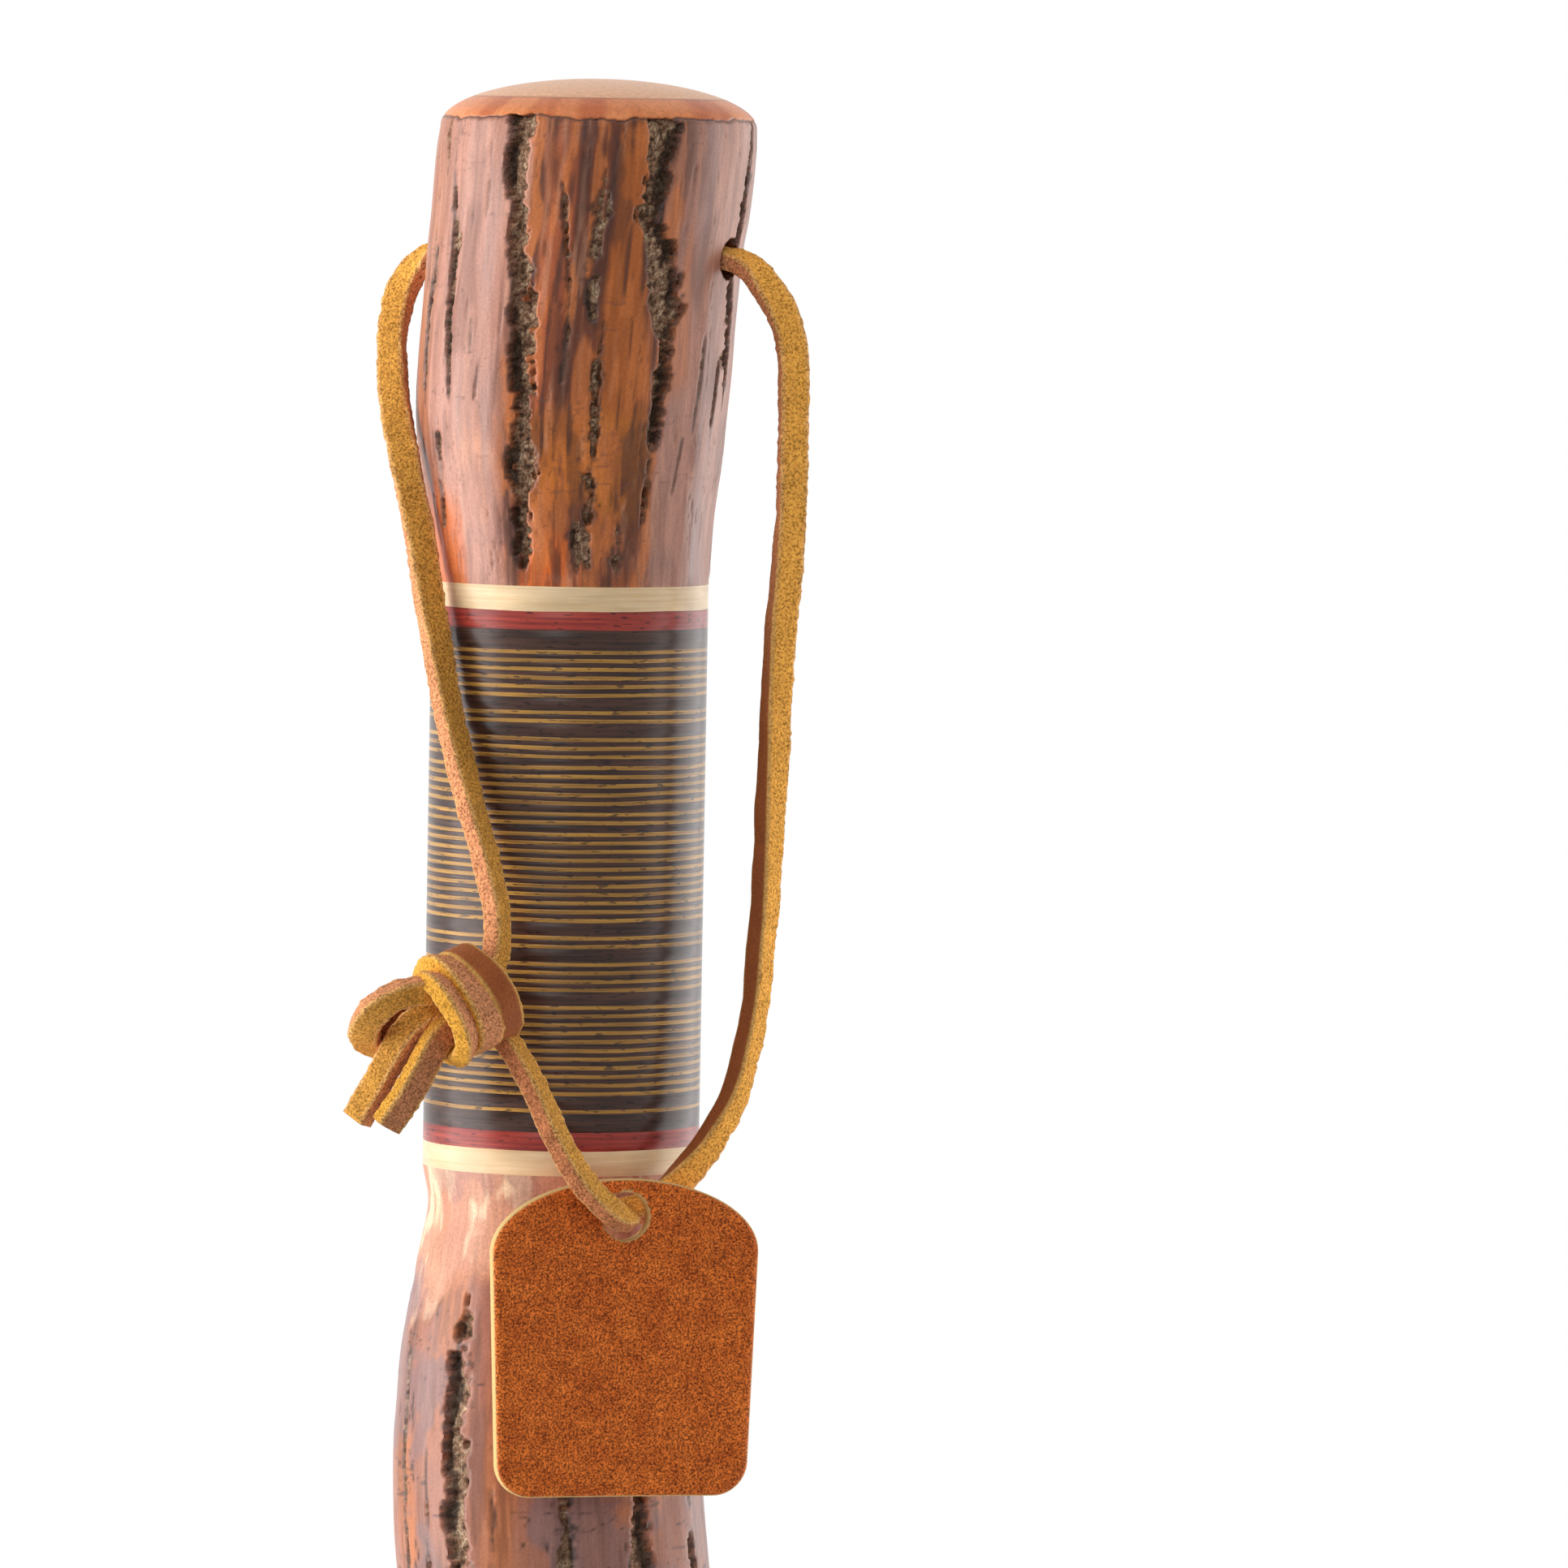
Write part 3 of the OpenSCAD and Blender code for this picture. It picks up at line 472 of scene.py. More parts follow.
def tube(name, rings, fields=None, closed=False):
    """An object skinned over rings of points, with values at each point and capped ends."""
    rows, columns = rings.shape[:2]
    place = np.arange(rows * columns).reshape(rows, columns)
    low, high = (place, np.roll(place, -1, axis=0)) if closed else (place[:-1], place[1:])
    quads = np.stack([low, np.roll(low, -1, 1), np.roll(high, -1, 1), high], -1).reshape(-1, 4)
    points = rings.reshape(-1, 3)
    a, b, c, d = (points[quads[:, k]] for k in range(4))
    volume = np.einsum("ij,ij->", a, np.cross(b, c)) + np.einsum("ij,ij->", a, np.cross(c, d))
    faces = quads.tolist()
    if not closed:
        faces += [place[0][::-1].tolist(), place[-1].tolist()]
    if volume < 0:
        faces = [face[::-1] for face in faces]
    mesh = bpy.data.meshes.new(name)
    mesh.from_pydata(points, [], faces, shade_flat=False)
    for key, values in (fields or {}).items():
        if values.ndim == 3:
            colour = np.ones((len(points), 4), np.float32)
            colour[:, :3] = values.reshape(-1, 3)
            mesh.attributes.new(key, "FLOAT_COLOR", "POINT").data.foreach_set("color", colour.ravel())
        else:
            flat = values.astype(np.float32).ravel()
            mesh.attributes.new(key, "FLOAT", "POINT").data.foreach_set("value", flat)
    return in_scene(name, mesh)


def joined(name, pieces):
    """One object from several."""
    with bpy.context.temp_override(active_object=pieces[0], selected_editable_objects=pieces):
        bpy.ops.object.join()
    pieces[0].name = pieces[0].data.name = name
    return pieces[0]


def drilled(target, centre, along, diameter, reach):
    """Cuts a round hole through the target, and gives the numbers of the points on its wall."""
    turn = np.linspace(0, 2 * math.pi, 64, endpoint=False)
    side = unit(np.cross(along, [0.3, 0.2, 0.93]))
    round_about = np.outer(np.cos(turn), side) + np.outer(np.sin(turn), np.cross(along, side))
    rings = np.stack([centre + along * end + round_about * diameter / 2 for end in (-reach, reach)])
    cutter = tube("cutter", rings)
    cut = target.modifiers.new("cut", "BOOLEAN")
    cut.object, cut.operation, cut.solver = cutter, "DIFFERENCE", "EXACT"
    with bpy.context.temp_override(object=target, active_object=target):
        bpy.ops.object.modifier_apply(modifier=cut.name)
    bpy.data.objects.remove(cutter)
    spots = np.empty(len(target.data.vertices) * 3, np.float32)
    target.data.vertices.foreach_get("co", spots)
    away = spots.reshape(-1, 3) - centre
    away = away - np.outer(away @ along, along)
    return np.flatnonzero(np.linalg.norm(away, axis=1) < diameter / 2 + 0.0001)


def place_piece(piece, body, material, node):
    """Gives a finished piece its material and its CAD body, and hides the CAD node it stands for."""
    piece.data.materials.clear()
    piece.data.materials.append(material)
    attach(piece, body)
    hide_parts(node)
    return piece


def make_camera():
    """The camera of the close-up, a little above and a little leaned."""
    data = bpy.data.cameras.new("close_up")
    data.angle = 2 * math.atan(CAMERA_HALF_VIEW / CAMERA_REACH)
    data.clip_start, data.clip_end = 0.05, 50
    camera = in_scene("close_up", data)
    tilt = Matrix.Rotation(math.radians(90 - CAMERA_RISE), 4, "X")
    roll = Matrix.Rotation(math.radians(CAMERA_ROLL), 4, "Z")
    back = Matrix.Translation((0, 0, CAMERA_REACH))
    camera.matrix_world = Matrix.Translation(CAMERA_AIM) @ tilt @ roll @ back
    bpy.context.scene.camera = camera


def plug(tree, socket, value):
    """Links a socket to another one, or sets it to a value."""
    if isinstance(value, bpy.types.NodeSocket):
        tree.links.new(value, socket)
    elif socket.type == "RGBA":
        socket.default_value = (*value[:3], 1.0)
    else:
        socket.default_value = value


def add(tree, kind, inputs=(), **settings):
    """A shader node with its settings, and its inputs set or linked."""
    node = tree.nodes.new(kind)
    for key, value in settings.items():
        setattr(node, key, value)
    for key, value in dict(inputs).items():
        plug(tree, node.inputs[key], value)
    return node


def shade(shader, **inputs):
    """Sets or links inputs of a shader, named with _ for a space."""
    for key, value in inputs.items():
        plug(shader.id_data, shader.inputs[key.replace("_", " ")], value)


def new_material(name):
    """A material with a Principled shader, its node tree and that shader."""
    material = bpy.data.materials.new(name)
    material.use_nodes = True
    tree = material.node_tree
    tree.nodes.clear()
    shader = add(tree, "ShaderNodeBsdfPrincipled")
    add(tree, "ShaderNodeOutputMaterial", {"Surface": shader.outputs["BSDF"]})
    return material, tree, shader


def mapped(tree, *scale):
    """Object coordinates times a scale."""
    where = add(tree, "ShaderNodeTexCoord").outputs["Object"]
    return add(tree, "ShaderNodeMapping", {"Vector": where, "Scale": scale}).outputs["Vector"]


def noise(tree, across, upright, detail=3.0, rough=0.55):
    """Noise from 0 to 1, with so many blotches to a metre across and upright."""
    where = mapped(tree, across, across, upright)
    return add(tree, "ShaderNodeTexNoise", {
        "Vector": where, "Scale": 1.0, "Detail": detail, "Roughness": rough}).outputs["Fac"]


def graded(tree, value, *stops):
    """Colours along a value, from pairs of place and colour, or of place and brightness."""
    node = add(tree, "ShaderNodeValToRGB", {"Fac": value})
    while len(node.color_ramp.elements) < len(stops):
        node.color_ramp.elements.new(1.0)
    for element, (place, colour) in zip(node.color_ramp.elements, stops):
        element.position = place
        element.color = (*np.broadcast_to(colour, 3), 1.0)
    return node.outputs["Color"]


def ranged(tree, value, low, high, new_low, new_high):
    """A value moved from one range to another."""
    return add(tree, "ShaderNodeMapRange", {
        "Value": value, "From Min": low, "From Max": high, "To Min": new_low,
        "To Max": new_high}).outputs["Result"]


def mixed(tree, share, one, other, blend="MIX"):
    """Two colours blended by a share."""
    return add(tree, "ShaderNodeMix", {0: share, 6: one, 7: other},
               data_type="RGBA", blend_type=blend).outputs[2]


def times(tree, colour, value, *stops, share=1.0):
    """A colour multiplied by the colours along a value."""
    return mixed(tree, share, colour, graded(tree, value, *stops), "MULTIPLY")


def bumped(tree, height, strength, distance):
    """A normal raised by a height."""
    return add(tree, "ShaderNodeBump", {
        "Height": height, "Strength": strength, "Distance": distance}).outputs["Normal"]


def kept(tree, name, output="Fac"):
    """The value kept at the mesh's points under a name."""
    return add(tree, "ShaderNodeAttribute", attribute_name=name).outputs[output]


def bark_material():
    """Bark in the paint kept at its points, varnished or gritty by their shine."""
    material, tree, shader = new_material("bark")
    fibre = noise(tree, 1300, 130, 4)
    grit = noise(tree, 2700, 2300, 2)
    shine = kept(tree, "shine")
    colour = times(tree, kept(tree, "paint", "Color"), fibre, (0.3, (0.86, 0.85, 0.84)), (0.7, 1.12))
    colour = times(tree, colour, grit, (0.36, (0.46, 0.44, 0.42)), (0.64, 1.5),
                   share=ranged(tree, shine, 0, 1, 1, 0.16))
    shade(shader, Base_Color=colour, Roughness=ranged(tree, shine, 0, 1, 0.75, 0.4),
          Specular_IOR_Level=0.2,
          Coat_Weight=ranged(tree, shine, 0, 1, 0.0, 0.25), Coat_Roughness=0.27,
          Normal=bumped(tree, mixed(tree, 0.4, fibre, grit), 0.3, 0.0002))
    return material


def turned_material(name, pale, deep, pores=None, streak=1.0):
    """Varnished wood turned on a lathe, with its grain lying flat and dark pores."""
    material, tree, shader = new_material(name)
    grain = noise(tree, 70, 2200)
    colour = mixed(tree, ranged(tree, grain, 0.35, 0.65, 0, streak), tint(*pale), tint(*deep))
    colour = times(tree, colour, noise(tree, 110, 240), (0.3, 0.78), (0.7, 1.18), share=0.6)
    if pores:
        dots = noise(tree, 420, 2200, 2)
        colour = mixed(tree, ranged(tree, dots, 0.6, 0.66, 0, 0.85), colour, tint(*pores))
    shade(shader, Base_Color=colour, Roughness=0.4, Specular_IOR_Level=0.05,
          Coat_Weight=1.0, Coat_IOR=1.3, Coat_Roughness=0.28,
          Normal=bumped(tree, grain, 0.1, 0.0001))
    return material


def lace_material():
    """Leather in the paint kept at its points, smooth or fuzzy by their nap."""
    material, tree, shader = new_material("lace_leather")
    nap = kept(tree, "nap")
    fuzz = noise(tree, 2600, 2600, 2, 0.6)
    rough = graded(tree, fuzz, (0.34, (0.5, 0.44, 0.36)), (0.5, (1.02, 1.0, 0.98)),
                   (0.66, (1.5, 1.46, 1.36)))
    soft = graded(tree, fuzz, (0.3, (0.88, 0.86, 0.84)), (0.7, 1.1))
    worn = mixed(tree, nap, soft, rough)
    colour = mixed(tree, 1.0, kept(tree, "paint", "Color"), worn, "MULTIPLY")
    colour = times(tree, colour, noise(tree, 300, 300, 2), (0.3, 0.8), (0.7, 1.15), share=0.5)
    shade(shader, Base_Color=colour, Roughness=ranged(tree, nap, 0, 1, 0.5, 0.95),
          Specular_IOR_Level=0.15, Sheen_Weight=0.15, Sheen_Roughness=0.5,
          Sheen_Tint=tint(236, 200, 140),
          Normal=bumped(tree, fuzz, 0.6, 0.0005))
    return material


def tag_material():
    """Grained leather, with a raw paler cut where the rim is kept as 1."""
    material, tree, shader = new_material("tag_leather")
    rim = kept(tree, "rim")
    pebble = add(tree, "ShaderNodeTexVoronoi", {"Vector": mapped(tree, 1, 1, 1), "Scale": 2200.0},
                 feature="F1").outputs["Distance"]
    cloud = ranged(tree, noise(tree, 320, 320, 4), 0.2, 0.8, 0, 1)
    speck = noise(tree, 3200, 3200, 2, 0.6)
    hide = mixed(tree, cloud, tint(172, 79, 26), tint(222, 120, 48))
    hide = times(tree, hide, speck, (0.36, (0.32, 0.26, 0.22)), (0.5, (1.0, 0.98, 0.96)), (0.64, 1.8))
    raw = mixed(tree, speck, tint(206, 166, 98), tint(228, 200, 142))
    shade(shader, Base_Color=mixed(tree, rim, hide, raw),
          Roughness=ranged(tree, rim, 0, 1, 0.55, 0.85), Specular_IOR_Level=0.15,
          Normal=bumped(tree, mixed(tree, 0.5, pebble, speck), 0.55, 0.0003))
    return material


def plain_material(name, dark, light, across, upright, rough, metal=0.0):
    """A finish with a fine mottle, for rubber, steel and bare wood."""
    material, tree, shader = new_material(name)
    mottle = noise(tree, across, upright, 4)
    shade(shader, Base_Color=mixed(tree, mottle, tint(*dark), tint(*light)), Metallic=metal,
          Roughness=ranged(tree, mottle, 0.3, 0.7, rough - 0.08, rough + 0.08),
          Normal=bumped(tree, mottle, 0.2, 0.0002))
    return material


def carried(line, first):
    """Headings along a line, and a direction square to them, carried on without turning."""
    heading = unit(np.gradient(line, axis=0))
    square = np.zeros_like(line)
    last = np.array(first, float)
    for k in range(len(line)):
        last = square_to(last, heading[k])
        square[k] = last
    return heading, square


def leaned(heading, width, degrees):
    """A strip's facing, square to its heading and width and then leaned over."""
    lean = math.radians(degrees)
    return np.cross(heading, width) * math.cos(lean) + width * math.sin(lean)


def strip(name, line, heading, facing, seed, coats, naps=(1.0, 1.0, 0.15, 1.0)):
    """A flat lace along a line, painted on its facing side, left edge, back and right edge."""
    sides = 36
    turn = np.linspace(0, 2 * math.pi, sides, endpoint=False) + math.pi / sides
    round_x = np.sign(np.cos(turn)) * np.abs(np.cos(turn)) ** 0.32
    round_y = np.sign(np.sin(turn)) * np.abs(np.sin(turn)) ** 0.32
    across = np.cross(heading, facing)
    out = across[:, None] * round_x[:, None] + facing[:, None] * round_y[:, None]
    rings = line[:, None] + across[:, None] * (round_x * LACE_W / 2)[:, None]
    rings = rings + facing[:, None] * (round_y * LACE_T / 2)[:, None]
    shares = np.stack([ramp(way, 0.62, 0.95) for way in (round_y, round_x, -round_y, -round_x)])
    corner = np.prod(shares + 1, axis=0) - np.sum(shares, axis=0) - 1
    shares = shares / np.sum(shares, axis=0)
    paint, nap = np.zeros(rings.shape), np.zeros(rings.shape[:2])
    for share, coat, soft in zip(shares, coats, naps):
        paint = paint + share[:, None] * np.broadcast_to(coat, line.shape)[:, None]
        nap = nap + share * np.broadcast_to(soft, len(line))[:, None]
    # A pale line along the lace's corners: partly a paler rim, partly painted highlight
    paint = layered(paint, ((232, 192, 120), np.broadcast_to(corner * 0.55, nap.shape)))
    pile = clouds(rings, 0.0007, 3, seed) - 0.5
    lumps = clouds(rings, 0.005, 2, seed + 3) - 0.5
    rings = rings + unit(out) * (pile * PILE_H * nap + lumps * LUMP_H)[..., None]
    return tube(name, rings, {"paint": paint, "nap": nap})


def make_lace(material):
    """The lace as one strip, and the points along its middle."""
    line, places = smooth_line(LACE_ROUTE)
    heading = unit(np.gradient(line, axis=0))
    facing = square_to(curve_points(np.array(LACE_FACINGS), places), heading)
    first, last = SMOOTH_EDGE
    smooth = ramp(places, first, first + 4) * ramp(-places, -last, 1 - last)
    pink = np.broadcast_to(PINK, line.shape)
    left_edge = stain(pink, BROWN, smooth)
    right_edge = stain(pink, BROWN, np.interp(places, (40, 43), (0, 0.55)))
    face = MUSTARD * np.interp(places, *LACE_SHADE)[:, None]
    lace = strip("lanyard_lace_strip", line, heading, facing, 11, (face, left_edge, BROWN, right_edge),
                 (1.0, 1 - 0.9 * smooth, 0.15, 1.0))
    return place_piece(lace, "lanyard", material, "lanyard_lace"), line


def make_knot(material):
    """Wraps of lace in a coil round the knot's axis, over a core and beside an inner strand."""
    middle, axis = HOLE_CENTRE + KNOT_OFFSET, unit(KNOT_AXIS)
    side = unit(np.cross(axis, [0.0, 0.0, 1.0]))
    up = np.cross(side, axis)
    turns = np.linspace(0, 1, 420)
    angle = 2 * math.pi * KNOT_TURNS * turns + 0.9
    tuck = ramp(turns, 0, 0.06) * (1 - ramp(turns, 0.95, 1))
    radius = (KNOT_D - LACE_T) / 2 - 0.0024 * (1 - tuck) + 0.00035 * np.sin(3.1 * angle)
    out = np.cos(angle)[:, None] * up + np.sin(angle)[:, None] * side
    along = WRAP_PITCH * KNOT_TURNS * (turns - 0.5)
    line = middle + out * radius[:, None] + axis * along[:, None]
    heading = unit(np.gradient(line, axis=0))
    lean = np.radians(-32 * ramp(turns, 0.5, 0.7))[:, None]
    facing = square_to(square_to(out, heading) * np.cos(lean) + axis * np.sin(lean), heading)
    fuzzy = ramp(turns, 0.3, 0.42)
    outside = stain(np.broadcast_to(BROWN * 1.25, line.shape), PINK * 0.85, fuzzy)
    wraps = strip("knot_wraps", line, heading, facing, 23, (outside, GOLDEN, GOLDEN, GOLDEN),
                  (0.15 + 0.85 * fuzzy, 0.8, 0.8, 0.8))
    turn = np.linspace(0, 2 * math.pi, 48, endpoint=False)
    out = np.cos(turn)[:, None] * up + np.sin(turn)[:, None] * side
    rings = np.stack([middle + axis * z + out * r for r, z in KNOT_CORE])
    # The core, seen only between the wraps, is a darker brown than the lace: painted shade
    core = tube("knot_core", rings, {"paint": np.broadcast_to(BROWN * 0.6, rings.shape),
                                     "nap": np.ones(rings.shape[:2])})
    line, _ = smooth_line(INNER_ROUTE)
    # The inner strand is darker brown all round: painted shade inside the bight
    inner = strip("knot_inner", line, *carried(line, (0, -1, 0)), 27, [BROWN * 0.7] * 4)
    knot = joined("lanyard_knot_wraps", [wraps, core, inner])
    return place_piece(knot, "lanyard", material, "lanyard_knot")


def make_ends(material):
    """The loop that stands out of the knot, and the two cut tails."""
    line, _ = smooth_line(LOOP_ROUTE)
    heading, width = carried(line, (0, 0, 1))
    loop = strip("knot_loop_strip", line, heading, leaned(heading, width, 25), 31,
                 (PINK, PINK, MUSTARD * 0.7, PINK * 0.9), (1.0, 1.0, 0.9, 1.0))
    place_piece(loop, "lanyard", material, "knot_loop")
    tails = []
    looks = ((-40, MUSTARD * 0.66, PINK), (20, PINK * 0.66, GOLDEN * 0.8))
    for k, (degrees, face, edge) in enumerate(looks):
        line, _ = smooth_line(TAIL_ROUTES[k])
        heading, width = carried(line, (0.35, 0, -1))
        facing = leaned(heading, width, degrees)
        facing = facing * np.sign(-facing[len(line) // 2, 1])
        tails.append(strip(f"tail_{k}", line, heading, facing, 41 + k, (face, edge, BROWN, edge)))
    tails = joined("lace_tails_cut", tails)
    return loop, place_piece(tails, "lanyard", material, "lace_tails")


def tag_edge(count):
    """Points round the tag's outline about its eye, as across and up, and their outward directions."""
    arcs = []
    corner_x, corner_z = TAG_FOOT_W / 2 - TAG_BOTTOM_R, TAG_TOP - TAG_H + TAG_BOTTOM_R
    for x, z, wide, tall, start, end, steps in (
            (0, TAG_TOP - TAG_ARCH_H, TAG_W / 2, TAG_ARCH_H, 0, 180, 121),
            (-corner_x, corner_z, TAG_BOTTOM_R, TAG_BOTTOM_R, 180, 270, 40),
            (corner_x, corner_z, TAG_BOTTOM_R, TAG_BOTTOM_R, 270, 360, 40)):
        angle = np.radians(np.linspace(start, end, steps))
        arcs.append(np.column_stack([x + wide * np.cos(angle), z + tall * np.sin(angle)]))
    closed = np.concatenate([*arcs, arcs[0][:1]])
    along = lengths_along(closed)
    at = np.linspace(0, along[-1], count, endpoint=False)
    edge = np.column_stack([np.interp(at, along, closed[:, k]) for k in (0, 1)])
    ahead = np.roll(edge, -1, 0) - np.roll(edge, 1, 0)
    return edge, unit(np.column_stack([ahead[:, 1], -ahead[:, 0]]))


def make_tag(material):
    """The leather tag with eased raw edges, a pebbled face and its lace hole."""
    edge, out = tag_edge(420)
    inner = edge - out * TAG_EASING[0][0]
    middle = np.array([0.0, TAG_TOP - TAG_H / 2])
    rows, rim = [], []
    for face, count in ((-1, 64), (1, 14)):
        half = [(middle + (inner - middle) * s, 0.0) for s in np.linspace(0.03, 0.99, count)]
        half += [(edge - out * inset, drop) for inset, drop in TAG_EASING]
        for flat, drop in half if face < 0 else half[::-1]:
            rows.append(points_at(flat[:, 0], face * (TAG_T / 2 - drop), flat[:, 1]))
            rim.append(np.full(len(flat), ramp(drop, 0.0004, 0.0007)))
    rings, rim = np.stack(rows), np.stack(rim)
    front = (rings[..., 1] < 0) * (1 - rim)
    pebble = clouds(rings, 0.0012, 3, 51) - 0.5
    pulled = bell(np.linalg.norm(rings[..., [0, 2]], axis=-1), EYE_D / 2, 0.0016)
    x = rings[..., 0]
    y = rings[..., 1] + front * (pebble * 0.00022 + pulled * 0.0003)
    y = y + 0.0007 * np.cos(x / TAG_W * math.pi) - 0.0004
    turn = math.radians(TAG_TURN)
    across = np.array([math.cos(turn), math.sin(turn), 0])
    through = np.array([-math.sin(turn), math.cos(turn), 0])
    eye = HOLE_CENTRE + EYE_OFFSET
    rings = eye + x[..., None] * across + y[..., None] * through + rings[..., 2:] * [0, 0, 1]
    tag = tube("leather_tag_slab", rings, {"rim": rim})
    for k in drilled(tag, eye, through, EYE_D, 0.006):
        tag.data.attributes["rim"].data[k].value = 1.0
    return place_piece(tag, "tag", material, "leather_tag")


def furrows(spot, turn, u, radius, table, seed):
    """Depth, floor share, dark lip share (partly painted shade) and painted shade of the bark's furrows."""
    ragged = clouds(spot, (0.0018, 0.005), 3, seed) - 0.5
    fine = clouds(spot, 0.0008, 2, seed + 1) - 0.5
    slow = clouds(spot, (0.02, 0.014), 2, seed + 2) - 0.5
    chip = ramp(clouds(spot, (0.007, 0.0026), 2, seed + 3), 0.58, 0.66)
    depth, floor, edge, painted_shade = (np.zeros(spot.shape[:2]) for _ in range(4))
    for deep, shaded_side, course in table:
        at, degrees, width = np.array(course).T
        across = np.radians((turn - np.interp(u, at, degrees) + 180) % 360 - 180) * radius
        half = np.interp(u, at, width) / 2000
        taper = 0.012 + 0.03 * (1 - np.clip(width[[0, -1]] / 4, 0, 1))
        ends = np.clip(np.minimum((u - at[0]) / taper[0], (at[-1] - u) / taper[1]), 0, 1)
        rough = (ragged * 0.0036 + fine * 0.0013) * np.minimum(1, half / 0.0012)
        gap = np.where(ends > 0, half * (ends ** 0.5 - 0.4 * chip) - np.abs(across) + rough, -1.0)
        depth = np.maximum(depth, ramp(gap, -0.0002, 0.0008) * deep)
        floor = np.maximum(floor, ramp(gap, 0.0001, 0.0004))
        aside = shaded_side * across / half
        # A dark line along each furrow's lip: partly a dark rim, partly painted shade, stronger on the shaded
        # side
        line = bell(gap, 0, 0.0003) * ramp(ends, 0, 0.2) * (0.3 + 0.7 * ramp(aside, -0.3, 0.3))
        edge = np.maximum(edge, line)
        # Painted shade over each furrow's shaded side, with ragged borders
        shade_edge = aside + ragged * 1.6 + slow * 1.6
        painted_shade = np.maximum(painted_shade, ramp(gap, 0, 0.0003) * ramp(shade_edge, 0.4, 0.62))
    return depth * FURROW_DEPTH, floor, edge, painted_shade


def cork_paint(speckle, painted_shade):
    """Colours of the crumbly cork in the furrows, with painted shade on their shaded side."""
    return painted(speckle.shape, (144, 112, 88),
                   ((184, 158, 130), ramp(speckle, 0.54, 0.7)),
                   ((84, 60, 44), ramp(speckle, 0.44, 0.3)),
                   ((32, 20, 14), painted_shade * 0.82))


def cracks(spot, size, width, seed):
    """Thin lines where layered noise crosses its middle, and only in some places."""
    line = np.abs(clouds(spot, size, 3, seed) - 0.5)
    some = ramp(clouds(spot, np.asarray(size) * 1.7, 2, seed + 5), 0.5, 0.62)
    return (1 - ramp(line, 0, width)) * some


def wood_piece(node, below, rings, above, paint, shine):
    """A piece of barked wood with plain rings added to its ends, in the paint next to them."""
    fields = {}
    for key, value in (("paint", paint), ("shine", shine)):
        fields[key] = np.concatenate([value[:len(below)], value, value[len(value) - len(above):]])
    return tube(node + "_bark", np.stack([*below, *rings, *above]), fields)


